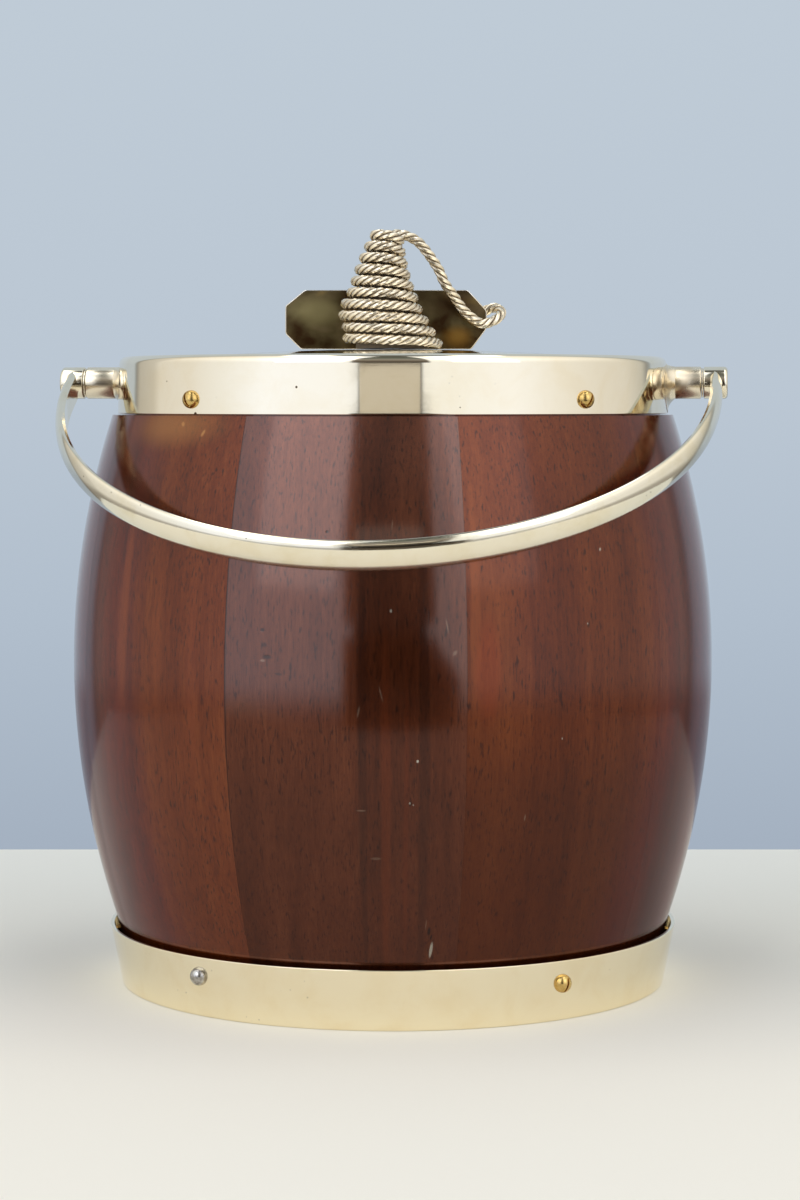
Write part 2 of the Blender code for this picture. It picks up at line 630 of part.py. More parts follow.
def resting_tilt():
    """Find how far the handle drops below level before it meets the belly."""
    low = 0.0
    high = math.pi / 3
    reach = BAR_INNER_FACE + HOOP_STRAIGHT
    half_width = BAR_HALF_WIDTH - BAR_EDGE_ROUND
    for _ in range(40):
        tilt = (low + high) / 2
        forward = reach * math.cos(tilt) - half_width * math.sin(tilt)
        height = PIVOT_HEIGHT - reach * math.sin(tilt) - half_width * math.cos(tilt)
        if forward > side_radius(height) + SEAT_GAP:
            low = tilt
        else:
            high = tilt
    return low


def make_handle():
    """Add the bail with a hub at each end, bored for its pins."""
    name = "bail_handle"
    handle = add_part(name, hoop_mesh(name), HANDLE_PLATE, HANDLE_AXIS)
    handle.rotation_euler = (resting_tilt(), 0, 0)
    outer_end = HUB_INNER_END + HUB_LENGTH
    for side_name, side in (("left", -1), ("right", 1)):
        points = [(0.0, outer_end)]
        points += arc((HUB_RADIUS - HUB_ROUND, outer_end - HUB_ROUND), HUB_ROUND, 90, 0, ROUND_POINTS)
        points += [(HUB_RADIUS, HUB_INNER_END), (0.0, HUB_INNER_END)]
        hub = add_cutter(f"hub_{side_name}", profile_mesh("hub", points, False))
        turn(hub, LUG_STEPS)
        hub.matrix_world = axle_frame(side)
        cut(handle, hub, "UNION")
        socket = add_cutter(f"hub_socket_{side_name}",
                            rod_mesh("hub_socket", PIN_RADIUS + PIN_CLEARANCE, PIN_RADIUS + PIN_CLEARANCE,
                                     HUB_INNER_END - CUT_OVERRUN, PIN_OUTER_END + SEAT_GAP, SMALL_STEPS))
        socket.matrix_world = axle_frame(side)
        cut(handle, socket)
    handle.data.shade_smooth()
    handle.data.set_sharp_from_angle(angle=SHARP_ANGLE)


def dome_height(radius):
    """Give the height of the lid's top at a distance from its middle."""
    return LID_CROWN - DOME_RADIUS + math.sqrt(DOME_RADIUS ** 2 - radius ** 2)


def in_lid(height):
    """Give a height above the lid's own origin."""
    return height - LEDGE_TOP


def make_lid():
    """Add the domed lid and the bezel soldered under it."""
    hole = STUD_RADIUS + SEAT_GAP
    radii = [hole + (LID_RADIUS - hole) * step / DOME_POINTS for step in range(DOME_POINTS + 1)]
    top = [(radius, in_lid(dome_height(radius))) for radius in radii]
    under = [(radius, height - LID_SHEET) for radius, height in reversed(top)]
    turned_part("lid_cover", top + under, True, LID_PLATE, TURN_STEPS, LID_AXIS)
    bezel_top = [(radius, in_lid(dome_height(radius)) - LID_SHEET - SEAT_GAP)
                 for radius in (BEZEL_RADIUS - BEZEL_FLANGE, BEZEL_RADIUS)]
    flange_under = (BEZEL_RADIUS - BEZEL_FLANGE, bezel_top[0][1] - BEZEL_WALL)
    wall_under = (BEZEL_RADIUS - BEZEL_WALL, bezel_top[1][1] - BEZEL_WALL)
    bottom = bezel_top[1][1] - BEZEL_DEPTH
    points = bezel_top + [(BEZEL_RADIUS, bottom), (BEZEL_RADIUS - BEZEL_WALL, bottom)]
    points += [wall_under, flange_under]
    turned_part("lid_bezel", points, True, LID_PLATE, LINER_STEPS, LID_AXIS)


def coil_point(turns):
    """Give a point of the winding after a number of turns, in the lid's turned frame."""
    share = turns / ROPE_TURNS
    radius = ROPE_FIRST_RADIUS - ROPE_RADIUS_STEP * turns
    shift = coil_shift(share)
    angle = -math.tau * turns
    depth = radius * math.sin(angle)
    height = ROPE_START_HEIGHT + ROPE_PITCH * turns - ROPE_NOD * share ** 2 * depth
    return Vector((shift + radius * math.cos(angle), depth, height))


def coil_shift(share):
    """Give how far the winding's middle stands to the left at a share of its height."""
    return ROPE_FIRST_SHIFT + ROPE_LEAN * share + ROPE_BOW * math.sin(math.pi * share)


def tail_points():
    """List the tail's chosen points: off the top, down past the plaque and round behind it."""
    points = [Vector((x, y, ROPE_START_HEIGHT + height)) for x, y, height in ROPE_TAIL]
    end_height = points[-1].z - SEAT_GAP
    end_x = points[-1].x - 3 * SEAT_GAP
    points.append(Vector((end_x, PLAQUE_BACK + SEAT_GAP + 2 * ROPE_RADIUS, end_height)))
    points.append(Vector((end_x, PLAQUE_BACK + SEAT_GAP, end_height)))
    return points


def smooth_through(points, pieces):
    """List points of one smooth curve through the given ones."""
    padded = [2 * points[0] - points[1], *points, 2 * points[-1] - points[-2]]
    smooth = []
    for before, first, second, after in zip(padded, padded[1:], padded[2:], padded[3:]):
        for step in range(pieces):
            t = step / pieces
            smooth.append(0.5 * (2 * first + (second - before) * t
                                 + (2 * before - 5 * first + 4 * second - after) * t ** 2
                                 + (3 * first - before - 3 * second + after) * t ** 3))
    smooth.append(points[-1].copy())
    return smooth


def rope_route():
    """List the whole rope: a straight lead off the plaque, the winding, and its tail."""
    steps = int(ROPE_TURNS * ROPE_POINTS_PER_TURN)
    coil = [coil_point(step / ROPE_POINTS_PER_TURN) for step in range(steps + 1)]
    start = coil[0]
    lead_start = PLAQUE_FRONT - SEAT_GAP
    lead = [Vector((start.x, lead_start * share, start.z)) for share in (1.0, 2 / 3, 1 / 3)]
    tail = smooth_through([coil[-3], coil[-1], *tail_points()], ROPE_TAIL_PIECES)
    return lead + coil + tail[ROPE_TAIL_PIECES + 1:]


def least_gap(route, radius):
    """Measure the least gap between stretches of a tube that are not neighbours along it."""
    travelled = [0.0]
    for first, second in zip(route, route[1:]):
        travelled.append(travelled[-1] + (second - first).length)
    closest = math.inf
    for index, point in enumerate(route):
        for other in range(index + 1, len(route)):
            if travelled[other] - travelled[index] > 7 * radius:
                closest = min(closest, (route[other] - point).length)
    return closest - 2 * radius


def make_rope():
    """Add the rope of the finial as one unbroken tube."""
    route = rope_route()
    print(f"finial_rope least gap to itself {least_gap(route, ROPE_RADIUS) * 1000:.2f} mm")
    curve = bpy.data.curves.new("finial_rope", "CURVE")
    curve.dimensions = "3D"
    curve.bevel_depth = ROPE_RADIUS
    curve.bevel_resolution = 1
    curve.use_fill_caps = True
    spline = curve.splines.new("POLY")
    spline.points.add(len(route) - 1)
    for point, place in zip(spline.points, route):
        point.co = (place.x, place.y, in_lid(place.z), 1.0)
    rope = bpy.data.objects.new("finial_rope", curve)
    BARREL.objects.link(rope)
    curve.materials.append(ROPE_METAL)
    rope.parent = LID_AXIS


def make_core():
    """Add the leaning cone that the rope is wound on, bored for its stud."""
    base = LID_CROWN + SEAT_GAP
    top = ROPE_START_HEIGHT + ROPE_PITCH * ROPE_TURNS - CORE_TOP_DROP
    points = []
    for step in range(CORE_POINTS + 1):
        height = top + (base - top) * step / CORE_POINTS
        turns = max((height - ROPE_START_HEIGHT) / ROPE_PITCH, 0.0)
        radius = ROPE_FIRST_RADIUS - ROPE_RADIUS_STEP * (turns + 0.5) - ROPE_RADIUS - CORE_CLEARANCE
        points.append((radius, height))
    outline = [(0.0, top), *points, (0.0, base)]
    blank = add_cutter("finial_core_blank", profile_mesh("finial_core", outline, False))
    turn(blank, LUG_STEPS)
    mesh = finished_mesh(blank)
    for vert in mesh.vertices:
        turns = max((vert.co.z - ROPE_START_HEIGHT) / ROPE_PITCH, 0.0)
        vert.co.x += coil_shift(turns / ROPE_TURNS)
        vert.co.z = in_lid(vert.co.z)
    core = add_part("finial_core", mesh, ROPE_METAL, LID_AXIS)
    socket_top = in_lid(LID_CROWN + STUD_REACH_UP + SEAT_GAP)
    socket = add_cutter("finial_socket", rod_mesh("finial_socket", STUD_RADIUS + SEAT_GAP,
                                                 STUD_RADIUS + SEAT_GAP, in_lid(LID_CROWN) - CUT_OVERRUN,
                                                 socket_top, SMALL_STEPS))
    socket.parent = LID_AXIS
    cut(core, socket)
    shade(mesh)


def make_fixings():
    """Add the stud that holds the finial, with its washer and nut under the lid."""
    under = LID_CROWN - LID_SHEET
    stud = add_part("finial_stud", rod_mesh("finial_stud", STUD_RADIUS, STUD_RADIUS,
                                           in_lid(under - STUD_REACH_DOWN), in_lid(LID_CROWN + STUD_REACH_UP),
                                           SMALL_STEPS), STEEL, LID_AXIS)
    shade(stud.data)
    hole = STUD_RADIUS + SEAT_GAP
    washer_top = in_lid(dome_height(STUD_WASHER_RADIUS) - LID_SHEET - SEAT_GAP)
    washer_bottom = washer_top - STUD_WASHER_THICKNESS
    points = [(STUD_WASHER_RADIUS, washer_top), (STUD_WASHER_RADIUS, washer_bottom), (hole, washer_bottom),
              (hole, washer_top)]
    turned_part("finial_washer", points, True, SCREW_BRASS, SMALL_STEPS, LID_AXIS)
    nut_top = washer_bottom - SEAT_GAP
    nut = add_part("finial_nut", rod_mesh("finial_nut", NUT_RADIUS, NUT_RADIUS, nut_top - NUT_THICKNESS,
                                         nut_top, 6), SCREW_BRASS, LID_AXIS)
    bore = add_cutter("nut_bore", rod_mesh("nut_bore", hole, hole, nut_top - NUT_THICKNESS - CUT_OVERRUN,
                                          nut_top + CUT_OVERRUN, SMALL_STEPS))
    bore.parent = LID_AXIS
    cut(nut, bore)


def make_plaque():
    """Add the upright plate with cut corners that stands on the lid behind the finial."""
    bottom = in_lid(LID_CROWN) + SEAT_GAP
    top = bottom + PLAQUE_HEIGHT
    corners = [(PLAQUE_LEFT, bottom, 1, 1, "bottom left"), (PLAQUE_RIGHT, bottom, -1, 1, "bottom right"),
               (PLAQUE_RIGHT, top, -1, -1, "top right"), (PLAQUE_LEFT, top, 1, -1, "top left")]
    outline = []
    for x, height, inwards, upwards, name in corners:
        along, up = PLAQUE_CUTS[name]
        ends = [(x, height + upwards * up), (x + inwards * along, height)]
        outline += ends if inwards == upwards else ends[::-1]
    curve = bpy.data.curves.new("plaque", "CURVE")
    curve.dimensions = "2D"
    curve.fill_mode = "BOTH"
    curve.extrude = PLAQUE_THICKNESS / 2
    spline = curve.splines.new("POLY")
    spline.points.add(len(outline) - 1)
    for point, (x, height) in zip(spline.points, outline):
        point.co = (x, height, 0.0, 1.0)
    spline.use_cyclic_u = True
    flat = add_cutter("plaque_outline", curve)
    mesh = finished_mesh(flat)
    shape = bmesh.new()
    shape.from_mesh(mesh)
    bmesh.ops.remove_doubles(shape, verts=shape.verts, dist=0.00001)
    shape.to_mesh(mesh)
    shape.free()
    plaque = add_part("plaque", mesh, PLAQUE_BRASS, LID_AXIS)
    plaque.location = (0, (PLAQUE_FRONT + PLAQUE_BACK) / 2, 0)
    plaque.rotation_euler = (math.pi / 2, 0, 0)


for old in list(bpy.data.objects):
    bpy.data.objects.remove(old)

BARREL = new_collection("biscuit_barrel")
CUTTERS = new_collection("cutters", hidden=True)

MAHOGANY = principled("mahogany", (0.19, 0.055, 0.022), 0.25)
BOARD_WOOD = principled("board_wood", (0.30, 0.16, 0.075), 0.6)
COLLAR_PLATE = principled("collar_plate", (0.78, 0.76, 0.68), 0.18, 1.0)
LUG_PLATE = principled("lug_plate", (0.74, 0.70, 0.60), 0.2, 1.0)
HANDLE_PLATE = principled("handle_plate", (0.80, 0.78, 0.70), 0.16, 1.0)
LID_PLATE = principled("lid_plate", (0.78, 0.76, 0.69), 0.2, 1.0)
BAND_PLATE = principled("band_plate", (0.76, 0.68, 0.50), 0.22, 1.0)
SCREW_BRASS = principled("screw_brass", (0.66, 0.48, 0.20), 0.3, 1.0)
STEEL = principled("steel", (0.58, 0.58, 0.57), 0.3, 1.0)
ROPE_METAL = principled("rope_metal", (0.66, 0.60, 0.48), 0.35, 1.0)
PLAQUE_BRASS = principled("plaque_brass", (0.42, 0.33, 0.17), 0.4, 1.0)
GLAZE = principled("glaze", (0.86, 0.84, 0.78), 0.15)

HANDLE_AXIS = bpy.data.objects.new("handle_axis", None)
HANDLE_AXIS.location = (0, 0, PIVOT_HEIGHT)
BARREL.objects.link(HANDLE_AXIS)
LID_AXIS = bpy.data.objects.new("lid_axis", None)
LID_AXIS.location = (0, 0, LEDGE_TOP)
LID_AXIS.rotation_euler = (0, 0, LID_TURN)
BARREL.objects.link(LID_AXIS)
bpy.context.view_layer.update()

make_bottom_board()
make_liner()
make_screws({"staves": make_staves(), "collar": make_collar(), "band": make_base_band()})
for place, direction in (("left", -1), ("right", 1)):
    make_lug(f"lug_{place}", direction)
    make_pivot(place, direction)
make_handle()
make_lid()
make_rope()
make_core()
make_fixings()
make_plaque()
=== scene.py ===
"""A coopered biscuit barrel with plated mounts, dressed round its fixed frame."""

from __future__ import annotations

import logging
import math
from dataclasses import dataclass
from enum import Enum

import bmesh
import bpy
from mathutils import Matrix, Vector
from mathutils.kdtree import KDTree


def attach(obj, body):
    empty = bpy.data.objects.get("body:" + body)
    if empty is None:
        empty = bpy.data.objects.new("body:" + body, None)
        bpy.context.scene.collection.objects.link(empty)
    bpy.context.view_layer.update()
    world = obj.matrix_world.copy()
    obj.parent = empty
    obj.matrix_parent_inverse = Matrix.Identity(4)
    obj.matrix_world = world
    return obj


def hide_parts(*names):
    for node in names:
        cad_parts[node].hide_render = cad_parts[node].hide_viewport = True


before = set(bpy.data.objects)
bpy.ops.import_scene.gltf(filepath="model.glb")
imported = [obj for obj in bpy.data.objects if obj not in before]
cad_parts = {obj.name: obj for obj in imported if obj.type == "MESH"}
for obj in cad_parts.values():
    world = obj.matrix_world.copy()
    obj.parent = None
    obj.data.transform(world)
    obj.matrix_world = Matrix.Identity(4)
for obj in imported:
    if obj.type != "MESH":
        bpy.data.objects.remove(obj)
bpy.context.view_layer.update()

LOG = logging.getLogger("biscuit_barrel")

Triple = tuple[float, float, float]
Colour = Triple
Span = tuple[float, float]
Stops = tuple[tuple[float, Colour], ...]
Socket = bpy.types.NodeSocket
Shape = bmesh.types.BMesh

MM = 0.001
SHARP_ANGLE = math.radians(34)
WELD = 0.000002
SEAM = 0.02 * MM


class Body(Enum):
    """The bodies of the frame that a piece can ride on."""

    BARREL = "barrel"
    HANDLE = "handle"
    LID = "lid"


class Slot(Enum):
    """The record's material slots."""

    MAHOGANY = "mahogany"
    BOARD_WOOD = "board_wood"
    GLAZE = "glaze"
    COLLAR_PLATE = "collar_plate"
    LUG_PLATE = "lug_plate"
    HANDLE_PLATE = "handle_plate"
    LID_PLATE = "lid_plate"
    BAND_PLATE = "band_plate"
    SCREW_BRASS = "screw_brass"
    STEEL = "steel"
    ROPE_METAL = "rope_metal"
    PLAQUE_BRASS = "plaque_brass"


class Side(Enum):
    """The two sides of the handle's axle."""

    LEFT = -1
    RIGHT = 1

    @property
    def extra(self) -> float:
        """Give how much further out the lug and hub of this side end."""
        return 0.9 * MM if self is Side.LEFT else 0.0


class Sheet:
    """A node sheet, written as short calls that return sockets."""

    def __init__(self, owner: bpy.types.Material | bpy.types.World) -> None:
        """Start on the nodes of a new material or world."""
        owner.use_nodes = True
        self.owner = owner
        self.tree = owner.node_tree

    def put(self, socket: Socket, value: object) -> None:
        """Link a socket to another, or set its plain value.

        Args:
            socket: The input that receives the value.
            value: A socket to link from, a colour or a number.
        """
        if isinstance(value, Socket):
            self.tree.links.new(value, socket)
        elif socket.type == "RGBA":
            socket.default_value = (*value, 1.0)
        else:
            socket.default_value = value

    def node(self, kind: str, inputs: dict[str | int, object], **settings: object) -> bpy.types.Node:
        """Add a node.

        Args:
            kind: Its type, without the leading ShaderNode.
            inputs: What its inputs receive, by name or number. None leaves one as it is.
            settings: Its own settings.

        Returns:
            The new node.
        """
        node = self.tree.nodes.new(f"ShaderNode{kind}")
        for name, value in settings.items():
            setattr(node, name, value)
        for name, value in inputs.items():
            if value is not None:
                self.put(node.inputs[name], value)
        return node

    def coordinates(self) -> Socket:
        """Give the object's own coordinates."""
        return self.node("TexCoord", {}).outputs["Object"]

    def turned(self, vector: Socket, turn: float) -> Socket:
        """Turn a vector back round Z by an angle in radians."""
        node = self.node("VectorRotate", {"Vector": vector, "Angle": -turn}, rotation_type="Z_AXIS")
        return node.outputs["Vector"]

    def stretched(self, vector: Socket, scale: Triple, shift: Triple = (0.0, 0.0, 0.0)) -> Socket:
        """Scale a vector and then shift it."""
        node = self.node("Mapping", {"Vector": vector, "Scale": scale, "Location": shift})
        return node.outputs["Vector"]

    def parts(self, vector: Socket) -> tuple[Socket, ...]:
        """Split a vector into its X, Y and Z."""
        return tuple(self.node("SeparateXYZ", {"Vector": vector}).outputs)

    def joined(self, x: object, y: object, z: object) -> Socket:
        """Join three numbers into a vector."""
        return self.node("CombineXYZ", {"X": x, "Y": y, "Z": z}).outputs["Vector"]

    def sum(self, operation: str, first: object, second: object = 0.0, third: object = 0.0) -> Socket:
        """Work out one sum, named as on the Math node."""
        return self.node("Math", {0: first, 1: second, 2: third}, operation=operation).outputs[0]

    def times(self, first: object, second: object) -> Socket:
        """Multiply two numbers."""
        return self.sum("MULTIPLY", first, second)

    def noise(self, vector: Socket, scale: float = 1.0, detail: float = 2.0, rough: float = 0.5,
              twist: float = 0.0) -> Socket:
        """Give smooth noise between 0 and 1 by its scale, finer layers, their strength and its twist."""
        return self.node("TexNoise", {"Vector": vector, "Scale": scale, "Detail": detail,
                                      "Roughness": rough, "Distortion": twist}).outputs["Fac"]

    def cells(self, vector: Socket, scale: float) -> Socket:
        """Give the distance to the nearest of many scattered points."""
        return self.node("TexVoronoi", {"Vector": vector, "Scale": scale}).outputs["Distance"]

    def ramp(self, value: Socket, *stops: tuple[float, Colour | float]) -> Socket:
        """Turn a number into a colour or grey by stops.

        Args:
            value: The number between 0 and 1.
            stops: Pairs of a position and a colour or grey.

        Returns:
            The colour socket.
        """
        node = self.node("ValToRGB", {0: value})
        points = node.color_ramp.elements
        while len(points) < len(stops):
            points.new(1.0)
        for point, (place, shade) in zip(points, stops):
            tint = shade if isinstance(shade, tuple) else (shade, shade, shade)
            point.position = place
            point.color = (*tint, 1.0)
        return node.outputs["Color"]

    def step(self, value: Socket, low: float, high: float) -> Socket:
        """Rise smoothly from 0 at one value to 1 at another."""
        return self.node("MapRange", {"Value": value, "From Min": low, "From Max": high},
                         interpolation_type="SMOOTHSTEP").outputs["Result"]

    def spread(self, value: Socket, low: float, high: float) -> Socket:
        """Map a number between 0 and 1 onto a range."""
        return self.sum("MULTIPLY_ADD", value, high - low, low)

    def mix(self, share: object, first: object, second: object, blend: str = "MIX") -> Socket:
        """Mix a share of the second colour into the first."""
        return self.node("Mix", {0: share, 6: first, 7: second}, data_type="RGBA",
                         blend_type=blend).outputs[2]

    def spot(self, vector: Socket, centre: Triple, size: Triple, soft: float = 0.4,
             lean: float = 0.0) -> Socket:
        """Mark an oval spot that fades towards its edge.

        Args:
            vector: Where the spot is read.
            centre: Its middle.
            size: Its half sizes along X, Y and Z.
            soft: The share of its reach that fades.
            lean: How far it leans round Y, in degrees.

        Returns:
            The spot's strength, 1 in its middle.
        """
        turn = (0.0, math.radians(lean), 0.0)
        place = self.node("Mapping", {"Vector": vector, "Location": centre, "Rotation": turn,
                                      "Scale": size}, vector_type="TEXTURE")
        reach = self.node("VectorMath", {0: place.outputs["Vector"]}, operation="LENGTH")
        return self.step(reach.outputs["Value"], 1.0, 1.0 - soft)

    def bump(self, height: Socket, depth: float, under: Socket | None = None) -> Socket:
        """Raise a fine relief, as high as the depth in metres, on the one under it."""
        return self.node("Bump", {"Strength": 1.0, "Distance": depth, "Height": height,
                                  "Normal": under}).outputs["Normal"]

    def finish(self, colour: Socket, rough: object, metal: object, normal: Socket,
               others: dict[str, object] | None = None) -> bpy.types.Material:
        """Hand the shader what it shows.

        Args:
            colour: The surface's colour.
            rough: Its roughness.
            metal: 1 for metal and 0 for anything else.
            normal: Its relief.
            others: What further inputs of the shader receive.

        Returns:
            The finished material.
        """
        shader = self.tree.nodes["Principled BSDF"]
        inputs = {"Base Color": colour, "Roughness": rough, "Metallic": metal, "Normal": normal}
        for name, value in {**inputs, **(others or {})}.items():
            self.put(shader.inputs[name], value)
        return self.owner


@dataclass(frozen=True)
class PlatedFinish:
    """Polished plate on brass, with fine scratches, faint clouds and small pits."""

    name: str
    bright: Colour
    worn: Colour
    rough: float
    rough_worn: float
    pits: float = 0.5
    scratch_depth: float = 0.002 * MM
    spots: tuple[tuple[Triple, float], ...] = ()
    cloud_scale: float = 90.0
    cloud_span: Span = (0.42, 0.72)
    scratch_scale: Triple = (60.0, 60.0, 2600.0)
    scratch_swing: float = 0.02
    pit_scale: float = 420.0
    pit_span: Span = (0.10, 0.05)
    patch_scale: float = 130.0
    patch_span: Span = (0.58, 0.66)
    pit_colour: Colour = (0.10, 0.06, 0.03)

    def material(self) -> bpy.types.Material:
        """Build the material."""
        sheet = Sheet(bpy.data.materials.new(self.name))
        place = sheet.coordinates()
        wear = sheet.step(sheet.noise(place, self.cloud_scale, 4.0, 0.6, 0.4), *self.cloud_span)
        scratch = sheet.noise(sheet.stretched(place, self.scratch_scale), 1.0, 3.0, 0.6)
        speck = sheet.step(sheet.cells(place, self.pit_scale), *self.pit_span)
        patch = sheet.step(sheet.noise(place, self.patch_scale, 1.0), *self.patch_span)
        pit = sheet.times(sheet.times(speck, patch), self.pits)
        for centre, size in self.spots:
            pit = sheet.sum("MAXIMUM", pit, sheet.spot(place, centre, (size, size, size)))
        colour = sheet.mix(pit, sheet.mix(wear, self.bright, self.worn), self.pit_colour)
        rough = sheet.sum("ADD", sheet.spread(wear, self.rough, self.rough_worn),
                          sheet.spread(scratch, -self.scratch_swing, self.scratch_swing))
        return sheet.finish(colour, rough, 1.0, sheet.bump(scratch, self.scratch_depth))


# Near-black of dents and dark joints; on the front stave it also paints a reflection of the dark gap in
# front of the barrel.
DENT_AND_GAP_REFLECTION: Colour = (0.010, 0.003, 0.002)
SCUFF: Colour = (0.40, 0.28, 0.20)
FILLER: Colour = (0.60, 0.57, 0.48)


@dataclass(frozen=True)
class Mark:
    """A streak, dent, scratch or chip on a stave, or a patch of painted highlight or reflection, in
    millimetres on its unrolled face.
    """

    across: float
    height: float
    width: float
    length: float
    tint: Colour
    share: float
    lean: float = 0.0
    soft: float = 0.6
    relief: float = 0.0

    @property
    def wavers(self) -> bool:
        """Tell whether it is a streak wide and long enough to waver with the grain."""
        return self.width > 1.5 and self.length > 10.0


@dataclass(frozen=True)
class Layer:
    """A layer of noise in the wood: its scales, finer layers, their strength, its twist and weight."""

    scale: Triple
    detail: float
    rough: float = 0.5
    twist: float = 0.0
    weight: float = 0.0


@dataclass(frozen=True)
class WoodFinish:
    """French-polished mahogany of one stave, its grain running along the stave."""

    name: str
    turn: float
    tones: tuple[Colour, Colour, Colour]
    seed: float
    marks: tuple[Mark, ...]
    polish: float
    foot_shade: float
    foot_gloss: float
    seed_spread: Triple = (1.0, 0.37, 0.71)
    broad: Layer = Layer((95.0, 40.0, 5.0), 3.0, 0.55, 0.6, 0.46)
    fine: tuple[Layer, ...] = (
        Layer((900.0, 500.0, 22.0), 4.0, 0.65, 0.0, 0.26),
        Layer((3400.0, 1700.0, 130.0), 2.0, 0.6, 0.0, 0.30),
        Layer((210.0, 210.0, 130.0), 3.0, 0.6, 0.8, 0.10),
        Layer((1500.0, 1500.0, 1100.0), 2.0, weight=0.08))
    tone_places: Triple = (0.40, 0.59, 0.80)
    pore: Layer = Layer((2600.0, 2000.0, 420.0), 1.0)
    pore_span: Span = (0.60, 0.70)
    pore_share: float = 0.7
    pore_relief: float = -0.1
    pore_tint: Colour = (0.016, 0.004, 0.002)
    wave: Layer = Layer((260.0, 260.0, 60.0), 2.0)
    wave_depth: float = 0.008 * MM
    relief_depth: float = 0.02 * MM
    unrolled_radius: float = 78.3
    wobble: float = 2.4
    shade_span: Span = (0.082, 0.045)
    shade_tint: Colour = (0.03, 0.008, 0.003)
    dull_span: Span = (0.079, 0.069)
    rough_span: Span = (0.17, 0.24)
    lustre: float = 0.72
    specular: float = 0.1
    specular_tint: Colour = (0.45, 0.14, 0.06)
    coat_rough: float = 0.11

    def read(self, sheet: Sheet, place: Socket, layer: Layer) -> Socket:
        """Read a layer of noise at this stave's own place in the wood."""
        shift = tuple(self.seed * spread for spread in self.seed_spread)
        return sheet.noise(sheet.stretched(place, layer.scale, shift), 1.0, layer.detail, layer.rough,
                           layer.twist)

    def marked(self, sheet: Sheet, place: Socket, broad: Socket, colour: Socket,
               relief: Socket) -> tuple[Socket, Socket]:
        """Lay the marks on the stave's unrolled face.

        Args:
            sheet: The sheet that is written.
            place: The stave's own coordinates.
            broad: The broad figure, which wide streaks waver with.
            colour: The colour of the bare wood.
            relief: Its relief.

        Returns:
            The marked colour and relief.
        """
        x, y, height = sheet.parts(place)
        tall = sheet.times(height, 1 / MM)
        angle = sheet.sum("ARCTAN2", x, sheet.times(y, -1.0))
        wobble = sheet.times(sheet.sum("SUBTRACT", broad, 0.5), self.wobble)
        wavy = sheet.joined(sheet.sum("MULTIPLY_ADD", angle, self.unrolled_radius, wobble), 0.0, tall)
        plain = sheet.joined(sheet.times(angle, self.unrolled_radius), 0.0, tall)
        for mark in self.marks:
            spot = sheet.spot(wavy if mark.wavers else plain, (mark.across, 0.0, mark.height),
                              (mark.width / 2, 1.0, mark.length / 2), mark.soft, mark.lean)
            colour = sheet.mix(sheet.times(spot, mark.share), colour, mark.tint)
            if mark.relief:
                relief = sheet.sum("MULTIPLY_ADD", spot, mark.relief, relief)
        return colour, relief

    def material(self) -> bpy.types.Material:
        """Build the material."""
        sheet = Sheet(bpy.data.materials.new(self.name))
        place = sheet.turned(sheet.coordinates(), self.turn)
        height = sheet.parts(place)[2]
        broad = self.read(sheet, place, self.broad)
        figure = sheet.times(broad, self.broad.weight)
        for layer in self.fine:
            figure = sheet.sum("MULTIPLY_ADD", self.read(sheet, place, layer), layer.weight, figure)
        pores = sheet.step(self.read(sheet, place, self.pore), *self.pore_span)
        colour = sheet.ramp(figure, *zip(self.tone_places, self.tones))
        colour = sheet.mix(sheet.times(pores, self.pore_share), colour, self.pore_tint)
        colour, relief = self.marked(sheet, place, broad, colour, sheet.times(pores, self.pore_relief))
        shade = sheet.times(sheet.step(height, *self.shade_span), self.foot_shade)
        gloss = sheet.spread(sheet.step(height, *self.dull_span), 1.0, self.foot_gloss)
        normal = sheet.bump(self.read(sheet, place, self.wave), self.wave_depth)
        normal = sheet.bump(relief, self.relief_depth, normal)
        varnish = {"Specular IOR Level": self.specular, "Specular Tint": self.specular_tint,
                   "Coat Roughness": self.coat_rough, "Coat IOR": self.polish, "Coat Weight": gloss,
                   "Coat Normal": normal}
        return sheet.finish(sheet.mix(shade, colour, self.shade_tint),
                            sheet.spread(broad, *self.rough_span), self.lustre, normal, varnish)


@dataclass(frozen=True)
class RopeFinish:
    """Silvered rope, bright on its strands and dark between them, where the dark is partly patina and
    partly painted shade.
    """

    name: str
    attribute: str = "outwards"
    tones: Stops = ((0.70, (0.190, 0.145, 0.095)), (0.84, (0.54, 0.44, 0.30)), (0.96, (0.92, 0.82, 0.64)))
    roughs: tuple[Span, Span] = ((0.70, 0.6), (0.95, 0.27))
    metals: tuple[Span, Span] = ((0.72, 0.3), (0.90, 1.0))
    cloud_scale: float = 420.0
    cloud_share: float = 0.10
    relief: float = 0.004 * MM

    def material(self) -> bpy.types.Material:
        """Build the material."""
        sheet = Sheet(bpy.data.materials.new(self.name))
        outwards = sheet.node("Attribute", {}, attribute_name=self.attribute).outputs["Fac"]
        cloud = sheet.noise(sheet.coordinates(), self.cloud_scale, 3.0, 0.6)
        # The tone follows how far a point stands out of the rope's middle: the dark in the hollows is
        # partly patina and partly painted shade.
        worn = sheet.sum("MULTIPLY_ADD", cloud, self.cloud_share,
                         sheet.sum("SUBTRACT", outwards, self.cloud_share / 2))
        return sheet.finish(sheet.ramp(worn, *self.tones), sheet.ramp(worn, *self.roughs),
                            sheet.ramp(worn, *self.metals), sheet.bump(cloud, self.relief))


@dataclass(frozen=True)
class Patch:
    """A soft patch of colour on the plaque, by its middle, half sizes, colour and strength."""

    centre: Triple
    size: Triple
    tint: Colour
    share: float


